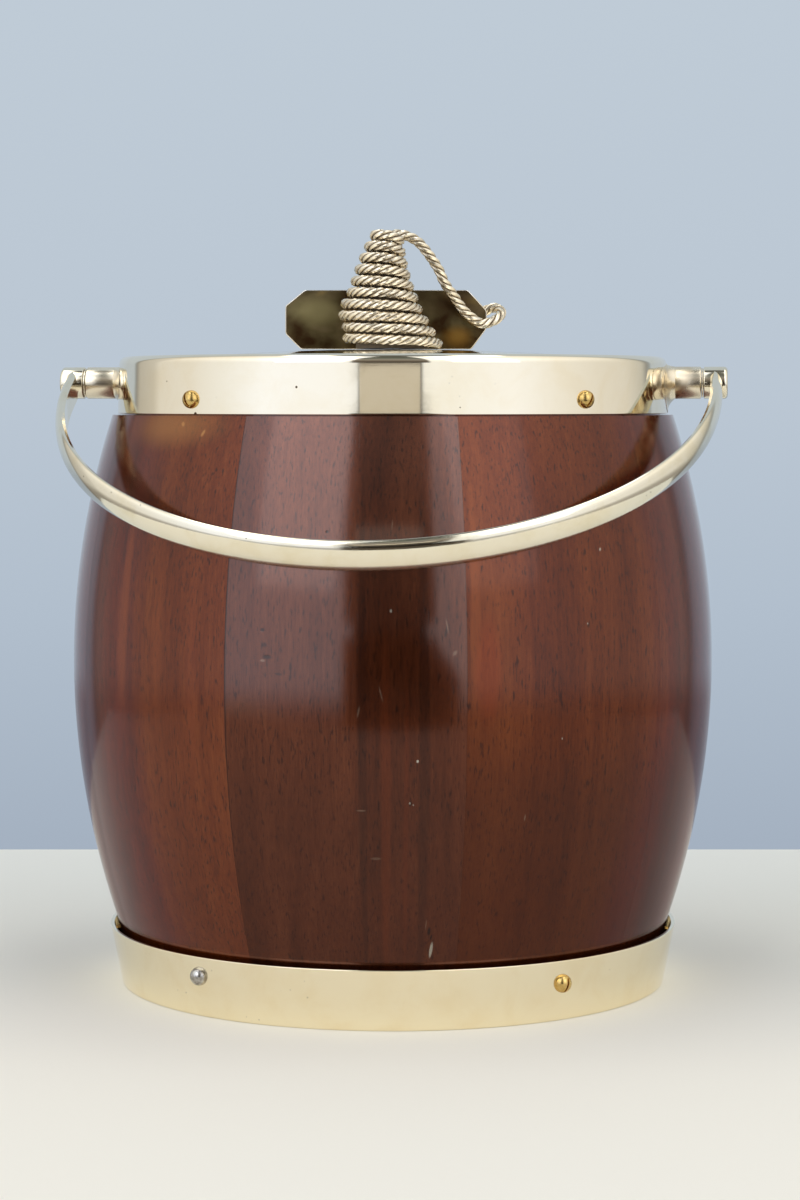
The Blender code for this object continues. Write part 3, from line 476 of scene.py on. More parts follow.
@dataclass(frozen=True)
class PlaqueFinish:
    """Old brass, mottled olive and brown, with a golden patch."""

    name: str
    tones: Stops = ((0.33, (0.062, 0.032, 0.014)), (0.50, (0.140, 0.108, 0.050)),
                    (0.62, (0.200, 0.150, 0.075)), (0.75, (0.34, 0.24, 0.09)))
    # Three dark patches lie behind the rope's coil and tail, a light olive one on the left and a golden one
    # low on the right.
    patches: tuple[Patch, ...] = (
        Patch((-0.0205, 0.010, 0.1642), (0.0085, 0.02, 0.0052), (0.36, 0.30, 0.135), 0.85),
        Patch((0.0140, 0.010, 0.166), (0.0100, 0.02, 0.0060), (0.062, 0.032, 0.014), 0.85),
        Patch((0.0230, 0.010, 0.163), (0.0060, 0.02, 0.0080), (0.062, 0.032, 0.014), 0.55),
        Patch((0.0146, 0.010, 0.1573), (0.0052, 0.02, 0.0042), (0.42, 0.225, 0.05), 0.8),
        Patch((-0.0110, 0.010, 0.163), (0.0050, 0.02, 0.0090), (0.062, 0.032, 0.014), 0.8))
    patch_soft: float = 0.8
    cloud_scale: Triple = (110.0, 110.0, 150.0)
    cloud_shift: Triple = (4.1, 0.0, 2.3)
    grain_scale: float = 700.0
    grain_share: float = 0.12
    rough_span: Span = (0.22, 0.42)
    relief: float = 0.006 * MM

    def material(self) -> bpy.types.Material:
        """Build the material."""
        sheet = Sheet(bpy.data.materials.new(self.name))
        place = sheet.coordinates()
        cloud = sheet.noise(sheet.stretched(place, self.cloud_scale, self.cloud_shift), 1.0, 2.5, 0.5, 0.4)
        grain = sheet.noise(place, self.grain_scale, 3.0, 0.6)
        tone = sheet.sum("MULTIPLY_ADD", grain, self.grain_share,
                         sheet.sum("SUBTRACT", cloud, self.grain_share / 2))
        colour = sheet.ramp(tone, *self.tones)
        for patch in self.patches:
            spot = sheet.spot(place, patch.centre, patch.size, self.patch_soft)
            colour = sheet.mix(sheet.times(spot, patch.share), colour, patch.tint)
        return sheet.finish(colour, sheet.spread(cloud, *self.rough_span), 1.0,
                            sheet.bump(grain, self.relief))


@dataclass(frozen=True)
class PlainFinish:
    """A cast, glazed or sawn surface with clouded colour and a fine relief."""

    name: str
    first: Colour
    second: Colour
    rough_low: float
    rough_high: float
    metal: float = 0.0
    cloud_scale: float = 60.0
    stretch: Triple = (1.0, 1.0, 1.0)
    relief: float = 0.01 * MM
    cloud_span: Span = (0.3, 0.7)
    relief_finer: float = 6.0

    def material(self) -> bpy.types.Material:
        """Build the material."""
        sheet = Sheet(bpy.data.materials.new(self.name))
        place = sheet.stretched(sheet.coordinates(), self.stretch)
        cloud = sheet.noise(place, self.cloud_scale, 5.0, 0.6, 0.3)
        colour = sheet.mix(sheet.step(cloud, *self.cloud_span), self.first, self.second)
        rough = sheet.spread(cloud, self.rough_low, self.rough_high)
        normal = sheet.bump(sheet.noise(place, self.cloud_scale * self.relief_finer, 3.0), self.relief)
        return sheet.finish(colour, rough, self.metal, normal)


TURNED_STEEL = ((0.5, 0.5, 0.49), (0.38, 0.38, 0.37), 0.2, 0.32, 1.0, 600.0)


class Workshop:
    """Turns finished shapes into pieces, and keeps count of them."""

    def __init__(self) -> None:
        """Start with no pieces."""
        self.pieces: list[bpy.types.Object] = []

    def piece(self, name: str, shape: Shape, material: bpy.types.Material, body: Body, slot: Slot,
              node: str) -> bpy.types.Object:
        """Make a piece of a shape, dress it and hang it on its body.

        Args:
            name: The piece's name.
            shape: Its shape, which is used up.
            material: Its finish.
            body: The body that it rides on.
            slot: The record's slot; not used.
            node: The node of the frame that it stands for.

        Returns:
            The new piece.
        """
        bmesh.ops.remove_doubles(shape, verts=shape.verts, dist=WELD)
        for face in shape.faces:
            face.smooth = True
        for edge in shape.edges:
            sharp = len(edge.link_faces) != 2 or edge.calc_face_angle(0.0) > SHARP_ANGLE
            edge.smooth = not sharp
        mesh = bpy.data.meshes.new(name)
        shape.to_mesh(mesh)
        shape.free()
        mesh.materials.append(material)
        piece = bpy.data.objects.new(name, mesh)
        bpy.context.scene.collection.objects.link(piece)
        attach(piece, body.value)
        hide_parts(node)
        self.pieces.append(piece)
        LOG.info("%s: %d faces on %s", name, len(mesh.polygons), body.value)
        return piece

    @staticmethod
    def dress(node: str, material: bpy.types.Material) -> None:
        """Give a node of the frame that keeps its solid a finish of its own.

        Args:
            node: The node's name.
            material: Its finish.
        """
        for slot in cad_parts[node].material_slots:
            slot.material = material
        LOG.info("%s: keeps its solid", node)


@dataclass
class Assembly:
    """A sub-assembly of the barrel, whose pieces ride on one body."""

    shop: Workshop
    body: Body = Body.BARREL

    def add(self, name: str, shape: Shape, material: bpy.types.Material, slot: Slot,
            node: str) -> bpy.types.Object:
        """Have the workshop make a piece on this assembly's body."""
        return self.shop.piece(name, shape, material, self.body, slot, node)


@dataclass(frozen=True)
class Corner:
    """One corner of a turned outline, with the radius that rounds it."""

    radius: float
    height: float
    rounding: float = 0.0


def ring_edges(shape: Shape, corner: Corner) -> list[bmesh.types.BMEdge]:
    """Find the edges of the ring that one corner has swept.

    Args:
        shape: The turned shape.
        corner: The corner.

    Returns:
        The edges of its ring.
    """
    def on_ring(vert: bmesh.types.BMVert) -> bool:
        """Tell whether a point lies on the ring."""
        reach = math.hypot(vert.co.x, vert.co.y)
        return abs(reach - corner.radius) < WELD and abs(vert.co.z - corner.height) < WELD

    return [edge for edge in shape.edges if on_ring(edge.verts[0]) and on_ring(edge.verts[1])]


def round_edges(shape: Shape, edges: list[bmesh.types.BMEdge], width: float, segments: int = 4) -> None:
    """Round some edges of a shape.

    Args:
        shape: The shape.
        edges: Its edges that are rounded.
        width: How far the rounding reaches from the edge.
        segments: How many faces it has across.
    """
    bmesh.ops.bevel(shape, geom=edges, offset=width, offset_type="OFFSET", segments=segments,
                    profile=0.5, affect="EDGES", material=-1, clamp_overlap=True)


def outline_shape(corners: list[Corner], closed: bool = True) -> Shape:
    """Draw an outline in the XZ plane.

    Args:
        corners: Its corners in order.
        closed: Whether the last joins the first.

    Returns:
        The outline as a shape of edges.
    """
    shape = bmesh.new()
    verts = [shape.verts.new((corner.radius, 0.0, corner.height)) for corner in corners]
    for first, second in zip(verts, verts[1:]):
        shape.edges.new((first, second))
    if closed:
        shape.edges.new((verts[-1], verts[0]))
    return shape


def turned(corners: list[Corner], steps: int, closed: bool = True, segments: int = 4) -> Shape:
    """Turn an outline a full circle round Z and round its corners.

    Args:
        corners: The outline's corners in order.
        steps: How many faces go round.
        closed: Whether the outline is a ring.
        segments: How many faces each rounding has across.

    Returns:
        The turned shape.
    """
    shape = outline_shape(corners, closed)
    bmesh.ops.spin(shape, geom=[*shape.verts, *shape.edges], cent=(0, 0, 0), axis=(0, 0, 1),
                   angle=math.tau, steps=steps, use_merge=True)
    bmesh.ops.remove_doubles(shape, verts=shape.verts, dist=WELD)
    for corner in corners:
        if corner.rounding > 0.0:
            round_edges(shape, ring_edges(shape, corner), corner.rounding, segments)
    bmesh.ops.recalc_face_normals(shape, faces=shape.faces)
    return shape


def radial_place(angle: float, height: float, radius: float, tip: float = 0.0,
                 roll: float = 0.0) -> Matrix:
    """Give a placement whose Z points out of the barrel's side.

    Args:
        angle: The angle from the front towards +X, in degrees.
        height: The height.
        radius: The distance from the axis.
        tip: How far the placement tips down, in radians.
        roll: How far it is rolled round its own Z, in degrees.

    Returns:
        The placement.
    """
    outwards = Matrix.Rotation(math.radians(angle) - math.pi / 2, 4, "Z")
    place = outwards @ Matrix.Translation((radius, 0, height))
    return (place @ Matrix.Rotation(math.pi / 2 + tip, 4, "Y")
            @ Matrix.Rotation(math.radians(roll), 4, "Z"))


@dataclass
class Cask(Assembly):
    """The nine staves, the board in their groove and the glazed pot inside."""

    cavity_radius: float = 60.3 * MM
    wall: float = 10.0 * MM
    spigot_radius: float = 66.0 * MM
    rim_height: float = 148.7 * MM
    shoulder_height: float = 138.2 * MM
    shoulder_radius: float = 68.9 * MM
    belly_height: float = 79.0 * MM
    belly_radius: float = 78.3 * MM
    foot_height: float = 14.2 * MM
    foot_top_radius: float = 67.1 * MM
    foot_radius: float = 65.2 * MM
    groove_radius: float = 62.3 * MM
    board_underside: float = 5.3 * MM
    board_top: float = 13.3 * MM
    seat: float = 0.3 * MM
    board_round: float = 0.3 * MM
    pot_floor: float = 5.0 * MM
    pot_inside: float = 55.8 * MM
    pot_outside: float = 59.2 * MM
    pot_rim_radius: float = 60.0 * MM
    pot_rim_depth: float = 6.0 * MM
    pot_rim_slope: float = 0.8 * MM
    pot_lip_round: float = 0.7 * MM
    pot_neck_round: float = 0.5 * MM
    pot_floor_rounds: Span = (3.4 * MM, 3.0 * MM)
    staves: int = 9
    front_left: float = -22.3
    front_right: float = 18.7
    side_points: int = 44
    cavity_points: int = 12
    turn_steps: int = 26
    round_steps: int = 96
    pot_steps: int = 144
    front_polish: float = 1.64
    side_polish: float = 1.38
    seed_step: float = 3.7
    plain_foot: Span = (0.52, 0.6)
    feet: tuple[tuple[int, Span], ...] = ((1, (0.40, 0.3)), (9, (0.15, 0.85)))
    tones: tuple[tuple[Colour, Colour, Colour], ...] = (
        ((0.048, 0.010, 0.003), (0.105, 0.024, 0.008), (0.175, 0.048, 0.018)),
        ((0.054, 0.009, 0.002), (0.116, 0.022, 0.004), (0.180, 0.042, 0.009)),
        ((0.060, 0.012, 0.003), (0.135, 0.030, 0.006), (0.215, 0.058, 0.014)),
        ((0.055, 0.010, 0.002), (0.125, 0.027, 0.005), (0.200, 0.052, 0.012)),
        ((0.060, 0.012, 0.003), (0.138, 0.030, 0.006), (0.215, 0.057, 0.013)),
        ((0.055, 0.011, 0.002), (0.122, 0.026, 0.005), (0.195, 0.050, 0.012)),
        ((0.062, 0.013, 0.003), (0.145, 0.034, 0.007), (0.228, 0.064, 0.015)),
        ((0.058, 0.012, 0.002), (0.132, 0.029, 0.006), (0.208, 0.055, 0.013)),
        ((0.060, 0.010, 0.002), (0.138, 0.026, 0.004), (0.225, 0.056, 0.012)))
    marks: tuple[tuple[int, tuple[Mark, ...]], ...] = (
        (1, (Mark(-28.0, 90, 0.6, 150, DENT_AND_GAP_REFLECTION, 0.75), Mark(28.0, 100, 0.4, 90, DENT_AND_GAP_REFLECTION, 0.35),
             # The two long dark streaks 4.3 and 18.4 mm across are a painted reflection of the dark gap in
             # front of the barrel.
             Mark(4.3, 60, 2.4, 170, DENT_AND_GAP_REFLECTION, 0.4), Mark(18.4, 60, 3.4, 170, DENT_AND_GAP_REFLECTION, 0.4),
             Mark(9.4, 50, 3.4, 120, (0.18, 0.034, 0.008), 0.4),
             Mark(14.2, 45, 1.6, 100, (0.17, 0.030, 0.007), 0.3),
             Mark(10.9, 95.3, 0.7, 1.0, FILLER, 0.8), Mark(16.9, 62.0, 0.7, 0.9, FILLER, 0.9),
             Mark(15.2, 52.6, 0.5, 0.7, FILLER, 0.6), Mark(16.0, 52.2, 0.4, 0.6, FILLER, 0.5),
             Mark(8.7, 77.0, 0.35, 4.4, SCUFF, 0.5, -15), Mark(3.7, 73.0, 0.6, 3.2, SCUFF, 0.3, 10),
             Mark(4.1, 50.9, 2.8, 0.5, SCUFF, 0.35), Mark(7.4, 40.0, 3.2, 0.8, SCUFF, 0.25),
             Mark(11.2, 114.2, 0.3, 2.8, SCUFF, 0.4, 6), Mark(23.5, 91.9, 0.4, 4.4, SCUFF, 0.35, -9),
             Mark(24.0, 91.6, 0.4, 4.0, DENT_AND_GAP_REFLECTION, 0.5, -9), Mark(25.2, 85.9, 1.1, 1.8, SCUFF, 0.3, 40),
             Mark(-18.6, 90.7, 1.5, 1.1, DENT_AND_GAP_REFLECTION, 0.8, 0, 0.6, -1), Mark(-18.0, 87.4, 1.7, 1.4, DENT_AND_GAP_REFLECTION, 0.6),
             Mark(-17.3, 84.7, 2.8, 1.3, DENT_AND_GAP_REFLECTION, 0.75, 0, 0.6, -1),
             Mark(-18.4, 83.9, 1.6, 0.8, SCUFF, 0.35), Mark(-14.6, 81.0, 2.3, 0.7, DENT_AND_GAP_REFLECTION, 0.7, 10),
             Mark(-3.9, 112.6, 0.9, 0.9, DENT_AND_GAP_REFLECTION, 0.9, 0, 0.6, -1),
             Mark(-10.5, 120.7, 0.35, 3.6, DENT_AND_GAP_REFLECTION, 0.7, 5),
             Mark(-2.0, 131.0, 0.5, 1.6, DENT_AND_GAP_REFLECTION, 0.6), Mark(-3.1, 127.4, 0.7, 1.2, DENT_AND_GAP_REFLECTION, 0.6),
             Mark(-5.0, 136.0, 1.2, 0.6, DENT_AND_GAP_REFLECTION, 0.5),
             Mark(21.1, 18.6, 1.0, 4.6, FILLER, 0.75, 8, 0.5, -1), Mark(20.4, 23.0, 1.2, 2.8, DENT_AND_GAP_REFLECTION, 1.0, 6),
             Mark(21.0, 21.6, 0.7, 2.0, DENT_AND_GAP_REFLECTION, 0.95, 15), Mark(19.6, 24.6, 0.3, 3.0, SCUFF, 0.4, 5))),
        (2, (Mark(-25.0, 96, 3.4, 66, (0.24, 0.058, 0.012), 0.5),
             Mark(-22.0, 82, 9.0, 30, (0.26, 0.040, 0.006), 0.4),
             Mark(8.3, 108.0, 0.8, 1.1, FILLER, 0.45, 30), Mark(3.0, 91.5, 0.5, 0.6, FILLER, 0.4),
             Mark(-12.6, 48.5, 0.5, 2.0, SCUFF, 0.5, 8), Mark(-4.0, 66.0, 0.4, 0.7, FILLER, 0.5))),
        (9, (Mark(27.2, 90, 0.4, 150, DENT_AND_GAP_REFLECTION, 0.5),
             # Across the top of the left stave, under the collar, a lighter band and two bright flecks are
             # a painted highlight.
             Mark(0.0, 136.0, 54, 14, (0.36, 0.150, 0.042), 0.65, 0, 0.95),
             Mark(6.5, 136.3, 1.9, 1.4, (0.55, 0.26, 0.08), 0.5, 30),
             Mark(14.4, 134.3, 1.2, 2.4, (0.55, 0.26, 0.08), 0.5, 35),
             Mark(-6.5, 92, 5.5, 62, (0.28, 0.066, 0.012), 0.5),
             Mark(7.2, 86, 5.0, 52, (0.24, 0.055, 0.012), 0.35),
             Mark(18.0, 80, 4.0, 60, (0.20, 0.040, 0.010), 0.3))),
    )

    def side_radius(self, height: float) -> float:
        """Give the outside radius at a height."""
        above = height > self.belly_height
        end_height = self.shoulder_height if above else self.foot_height
        end_radius = self.shoulder_radius if above else self.foot_top_radius
        share = (height - self.belly_height) / (end_height - self.belly_height)
        return self.belly_radius - (self.belly_radius - end_radius) * share ** 2

    def joints(self) -> list[float]:
        """List the angles of the joints in degrees, the front stave's left one first."""
        width = (360.0 - (self.front_right - self.front_left)) / (self.staves - 1)
        return [self.front_left] + [self.front_right + width * step for step in range(self.staves)]

    def section(self) -> list[Corner]:
        """List a stave's section, down its outer side and up its inner one."""
        points = [Corner(self.spigot_radius, self.rim_height),
                  Corner(self.spigot_radius, self.shoulder_height)]
        for step in range(self.side_points + 1):
            share = step / self.side_points
            height = self.shoulder_height + (self.foot_height - self.shoulder_height) * share
            points.append(Corner(self.side_radius(height), height))
        points += [Corner(self.foot_radius, 0.0), Corner(self.cavity_radius, 0.0)]
        low = self.board_underside - self.seat
        high = self.board_top + self.seat
        points += [Corner(self.cavity_radius, low), Corner(self.groove_radius, low)]
        points += [Corner(self.groove_radius, high), Corner(self.cavity_radius, high)]
        for step in range(1, self.cavity_points):
            height = high + (self.rim_height - high) * step / self.cavity_points
            radius = max(self.side_radius(height) - self.wall, self.cavity_radius)
            points.append(Corner(radius, height))
        points.append(Corner(self.cavity_radius, self.rim_height))
        return points

    def stave(self, start: float, end: float) -> Shape:
        """Spin the section between two joints.

        Args:
            start: The angle of the left joint in degrees.
            end: The angle of the right joint in degrees.

        Returns:
            The stave's shape.
        """
        half_line = math.degrees(SEAM / 2 / self.belly_radius)
        first = math.radians(start + half_line)
        last = math.radians(end - half_line)
        shape = outline_shape(self.section())
        face = shape.faces.new(list(shape.verts))
        bmesh.ops.rotate(shape, verts=shape.verts, cent=(0, 0, 0),
                         matrix=Matrix.Rotation(first - math.pi / 2, 3, "Z"))
        bmesh.ops.spin(shape, geom=[face, *face.edges, *face.verts], cent=(0, 0, 0), axis=(0, 0, 1),
                       angle=last - first, steps=self.turn_steps)
        bmesh.ops.recalc_face_normals(shape, faces=shape.faces)
        return shape

    def build(self) -> None:
        """Make the staves and what stands inside them."""
        joints = self.joints()
        marks = dict(self.marks)
        feet = dict(self.feet)
        for number, (start, end) in enumerate(zip(joints, joints[1:]), 1):
            name = f"stave_{number:02d}"
            finish = WoodFinish(f"mahogany_{number}", math.radians((start + end) / 2),
                                self.tones[number - 1], self.seed_step * number, marks.get(number, ()),
                                self.front_polish if number == 1 else self.side_polish,
                                *feet.get(number, self.plain_foot))
            self.add(f"wood_{name}", self.stave(start, end), finish.material(), Slot.MAHOGANY, name)
        self.board()
        self.pot()

    def board(self) -> None:
        """Make the bottom board."""
        pine = PlainFinish("board_pine", (0.26, 0.13, 0.06), (0.36, 0.20, 0.10), 0.55, 0.7,
                           stretch=(1.0, 12.0, 1.0), relief=0.05 * MM)
        radius = self.groove_radius - self.seat
        shape = turned([Corner(0.0, self.board_top), Corner(radius, self.board_top, self.board_round),
                        Corner(radius, self.board_underside, self.board_round),
                        Corner(0.0, self.board_underside)], self.round_steps, closed=False)
        self.add("board_disc", shape, pine.material(), Slot.BOARD_WOOD, "bottom_board")

    def pot(self) -> None:
        """Make the glazed pot."""
        glaze = PlainFinish("cream_glaze", (0.80, 0.77, 0.68), (0.86, 0.84, 0.77), 0.08, 0.16,
                            cloud_scale=45.0, relief=0.03 * MM)
        bottom = self.board_top + self.seat
        top = self.rim_height
        neck = top - self.pot_rim_depth
        floor = bottom + self.pot_floor
        lip = self.pot_lip_round
        inside_round, outside_round = self.pot_floor_rounds
        shape = turned([Corner(0.0, floor), Corner(self.pot_inside, floor, inside_round),
                        Corner(self.pot_inside, top, lip), Corner(self.pot_rim_radius, top, lip),
                        Corner(self.pot_rim_radius, neck, self.pot_neck_round),
                        Corner(self.pot_outside, neck - self.pot_rim_slope),
                        Corner(self.pot_outside, bottom, outside_round), Corner(0.0, bottom)],
                       self.pot_steps, closed=False, segments=6)
        self.add("glazed_pot", shape, glaze.material(), Slot.GLAZE, "ceramic_liner")


@dataclass
class Mounts(Assembly):
    """The collar, the base band, their screws, and the lugs with their washers."""

    collar_top: float = 152.4 * MM
    collar_height: float = 13.9 * MM
    collar_top_radius: float = 67.3 * MM
    collar_bottom_radius: float = 67.6 * MM
    collar_wall: float = 1.0 * MM
    collar_round: float = 1.95 * MM
    collar_ease: float = 0.2 * MM
    collar_inner_round: float = 0.8 * MM
    recess_round: float = 0.35 * MM
    recess_foot_round: float = 0.3 * MM
    recess_radius: float = 62.6 * MM
    recess_depth: float = 2.4 * MM
    ledge_radius: float = 56.0 * MM
    band_height: float = 14.2 * MM
    band_bottom_radius: float = 66.4 * MM
    band_top_radius: float = 69.3 * MM
    band_wall: float = 0.9 * MM
    band_ease: float = 0.45 * MM
    band_round: float = 0.22 * MM
    band_inner_round: float = 0.2 * MM
    collar_spots: tuple[tuple[Triple, float], ...] = (
        ((-0.01436, -0.06585, 0.1448), 0.00035), ((-0.0395, -0.0549, 0.1386), 0.0006),
        ((0.0225, -0.0637, 0.1402), 0.00018), ((-0.0475, -0.0479, 0.1462), 0.0002))
    turn_steps: int = 240
    head_radius: float = 2.15 * MM
    head_height: float = 2.0 * MM
    slot_width: float = 0.5 * MM
    slot_depth: float = 0.9 * MM
    skirt: Span = (0.12, 0.95)
    shank_tip: float = 0.6 * MM
    shank_radius: float = 1.0 * MM
    shank_length: float = 5.0 * MM
    shank_drop: float = 2.6 * MM
    collar_screws: tuple[tuple[float, float], ...] = ((-37.0, 18.0), (47.5, -27.0), (143.0, 64.0),
                                                      (-132.5, -40.0))
    base_screws: tuple[tuple[float, float], ...] = ((41.1, -12.0), (112.3, 35.0), (183.5, 80.0),
                                                    (-105.3, 8.0))
    steel_screw: float = -34.1
    collar_screw_rise: float = 3.5 * MM
    base_screw_drop: float = 5.4 * MM
    steel_screw_drop: float = 4.6 * MM
    pivot_height: float = 146.0 * MM
    trunnion_radius: float = 3.95 * MM
    trunnion_end: float = 75.75 * MM
    trunnion_round: float = 0.3 * MM
    bore_radius: float = 1.6 * MM
    seam: float = 0.18 * MM
    flare_start: float = 69.4 * MM
    flare_rings: int = 14
    flare_bend: float = 2.5
    foot_across: float = 7.9 * MM
    foot_down: float = 7.3 * MM
    foot_up: float = 4.7 * MM
    foot_rim: float = 0.07 * MM
    foot_depth: float = 2.0 * MM
    foot_sunk: float = 0.35 * MM
    lug_steps: int = 96
    washer_radius: float = 3.6 * MM
    washer_hole: float = 1.7 * MM
    washer_round: float = 0.08 * MM
    washer_gap: float = 0.12 * MM
    washer_thickness: float = 0.4 * MM
    washer_steps: int = 64

    def collar_radius(self, height: float) -> float:
        """Give the collar's outside radius at a height."""
        share = (height - self.collar_top + self.collar_height) / self.collar_height
        return self.collar_bottom_radius + (self.collar_top_radius - self.collar_bottom_radius) * share

    def band_radius(self, height: float) -> float:
        """Give the band's outside radius at a height."""
        share = height / self.band_height
        return self.band_bottom_radius + (self.band_top_radius - self.band_bottom_radius) * share

    def collar(self) -> Shape:
        """Turn the collar: skirt, rounded rim, recess and ledge."""
        top = self.collar_top
        bottom = top - self.collar_height
        ledge = top - self.recess_depth
        wall = self.collar_wall
        inner = self.recess_radius + wall
        ease = self.collar_ease
        shoulder = top - self.collar_round - ease
        low = bottom + 2 * ease
        return turned([Corner(self.recess_radius, top, self.recess_round),
                       Corner(self.collar_top_radius, top, self.collar_round),
                       Corner(self.collar_radius(shoulder), shoulder),
                       Corner(self.collar_radius(low), low),
                       Corner(self.collar_bottom_radius, bottom, ease),
                       Corner(self.collar_bottom_radius - wall, bottom, ease),
                       Corner(self.collar_top_radius - wall, top - wall, self.collar_inner_round),
                       Corner(inner, top - wall), Corner(inner, ledge - wall),
                       Corner(self.ledge_radius, ledge - wall, ease),
                       Corner(self.ledge_radius, ledge, ease),
                       Corner(self.recess_radius, ledge, self.recess_foot_round)],
                      self.turn_steps, segments=8)

    def band(self) -> Shape:
        """Turn the conical band."""
        low = self.band_ease
        high = self.band_height - self.band_ease
        return turned([Corner(self.band_top_radius, self.band_height, self.band_round),
                       Corner(self.band_radius(high), high), Corner(self.band_radius(low), low),
                       Corner(self.band_bottom_radius, 0.0, self.band_round),
                       Corner(self.band_bottom_radius - self.band_wall, 0.0, self.band_inner_round),
                       Corner(self.band_top_radius - self.band_wall, self.band_height, self.band_round)],
                      self.turn_steps)

    def screw(self, slotted: bool, place: Matrix) -> Shape:
        """Model a round-headed screw.

        Args:
            slotted: Whether the head has a slot.
            place: Where its head sits, with Z out of the barrel.

        Returns:
            The screw's shape.
        """
        shape = bmesh.new()
        bmesh.ops.create_uvsphere(shape, u_segments=40, v_segments=24, radius=1.0)
        bmesh.ops.bisect_plane(shape, geom=[*shape.verts, *shape.edges, *shape.faces], dist=0.0001,
                               plane_co=(0, 0, 0), plane_no=(0, 0, 1), clear_inner=True)
        rim = [edge for edge in shape.edges if edge.is_boundary]
        verts = points_of(bmesh.ops.extrude_edge_only(shape, edges=rim)["geom"])
        depth, narrowing = self.skirt
        bmesh.ops.translate(shape, verts=verts, vec=(0, 0, -depth))
        bmesh.ops.scale(shape, verts=verts, vec=(narrowing, narrowing, 1.0))
        rim = [edge for edge in shape.edges if edge.is_boundary]
        bmesh.ops.contextual_create(shape, geom=rim)
        bmesh.ops.scale(shape, verts=shape.verts,
                        vec=(self.head_radius, self.head_radius, self.head_height))
        if slotted:
            self.cut_slot(shape)
        bmesh.ops.create_cone(shape, cap_ends=True, segments=24, radius1=self.shank_tip,
                              radius2=self.shank_radius, depth=self.shank_length,
                              matrix=Matrix.Translation((0, 0, -self.shank_drop)))
        bmesh.ops.transform(shape, matrix=place, verts=shape.verts)
        return shape

    def cut_slot(self, shape: Shape) -> None:
        """Sink a straight slot into a screw's head.

        Args:
            shape: The head's shape.
        """
        half = self.slot_width / 2
        for side in (-1, 1):
            bmesh.ops.bisect_plane(shape, geom=[*shape.verts, *shape.edges, *shape.faces],
                                   dist=0.00001 * MM, plane_co=(0, side * half, 0), plane_no=(0, 1, 0))
        strip = [face for face in shape.faces
                 if abs(face.calc_center_median().y) < half and face.normal.z > 0.05
                 and face.calc_center_median().z > 0.0]
        moved = bmesh.ops.extrude_face_region(shape, geom=strip)["geom"]
        bmesh.ops.delete(shape, geom=strip, context="FACES_KEEP_BOUNDARY")
        floor = self.head_height - self.slot_depth
        for vert in points_of(moved):
            vert.co.z = min(vert.co.z, floor)

    def lug(self, side: Side) -> Shape:
        """Turn a trunnion with a seam, and flare its foot over the collar's curve.

        Args:
            side: The side that it stands on.

        Returns:
            The lug's shape.
        """
        radius = self.trunnion_radius
        start = self.flare_start
        end = self.trunnion_end + side.extra
        corners = [Corner(self.bore_radius, end), Corner(radius, end, self.trunnion_round),
                   Corner(radius, start + self.seam), Corner(radius - self.seam / 3, start + self.seam / 2)]
        for step in range(self.flare_rings + 1):
            share = step / self.flare_rings
            corners.append(Corner(radius + (self.foot_across - radius) * share, start - share * self.seam))
        base = start - self.foot_depth
        corners += [Corner(self.foot_across, base), Corner(self.bore_radius, base)]
        shape = turned(corners, self.lug_steps)
        for vert in shape.verts:
            if vert.co.z < start + WELD:
                self.settle_foot(vert, vert.co.z < base + WELD)
        bmesh.ops.transform(shape, matrix=axle_place(side, self.pivot_height), verts=shape.verts)
        bmesh.ops.recalc_face_normals(shape, faces=shape.faces)
        return shape

    def settle_foot(self, vert: bmesh.types.BMVert, sunk: bool) -> None:
        """Lay one point of a lug's foot on the collar.

        Args:
            vert: The point, with Z out along the axle and X down, which is moved.
            sunk: Whether it lies inside the collar's metal.
        """
        across = math.hypot(vert.co.x, vert.co.y)
        share = (across - self.trunnion_radius) / (self.foot_across - self.trunnion_radius)
        if share > 0.0:
            reach = self.foot_down if vert.co.x > 0.0 else self.foot_up
            slender = math.hypot(vert.co.x / reach, vert.co.y / self.foot_across)
            rim = across / slender
            scale = (self.trunnion_radius + (rim - self.trunnion_radius) * share) / across
            vert.co.x *= scale
            vert.co.y *= scale
        radius = self.collar_radius(self.pivot_height - vert.co.x)
        seat = math.sqrt(radius ** 2 - vert.co.y ** 2)
        if sunk:
            vert.co.z = seat - self.foot_sunk
        else:
            rise = (1.0 - min(max(share, 0.0), 1.0)) ** self.flare_bend
            vert.co.z = seat + self.foot_rim + (self.flare_start - seat - self.foot_rim) * rise

    def build(self) -> None:
        """Make the mounts."""
        collar = PlatedFinish("collar_plate", (0.935, 0.850, 0.680), (0.915, 0.815, 0.625), 0.05, 0.08,
                              pits=0.12, spots=self.collar_spots, scratch_depth=0.001 * MM)
        self.add("plated_collar", self.collar(), collar.material(), Slot.COLLAR_PLATE, "top_collar")
        band = PlatedFinish("band_plate", (0.960, 0.865, 0.640), (0.930, 0.815, 0.570), 0.08, 0.15)
        self.add("plated_band", self.band(), band.material(), Slot.BAND_PLATE, "base_band")
        self.screws()
        plate = PlatedFinish("lug_plate", (0.88, 0.79, 0.62), (0.74, 0.63, 0.46), 0.24, 0.34)
        material = plate.material()
        for side in Side:
            name = side.name.lower()
            self.add(f"plated_lug_{name}", self.lug(side), material, Slot.LUG_PLATE, f"lug_{name}")
            self.add(f"plated_washer_{name}", self.washer(side), material, Slot.LUG_PLATE,
                     f"handle_washer_{name}")

    def washer(self, side: Side) -> Shape:
        """Turn the washer between a trunnion and its hub.

        Args:
            side: The side that it stands on.

        Returns:
            The washer's shape.
        """
        low = self.trunnion_end + side.extra + self.washer_gap
        high = low + self.washer_thickness
        shape = turned([Corner(self.washer_radius, high, self.washer_round),
                        Corner(self.washer_radius, low, self.washer_round),
                        Corner(self.washer_hole, low), Corner(self.washer_hole, high)], self.washer_steps)
        bmesh.ops.transform(shape, matrix=axle_place(side, self.pivot_height), verts=shape.verts)
        return shape

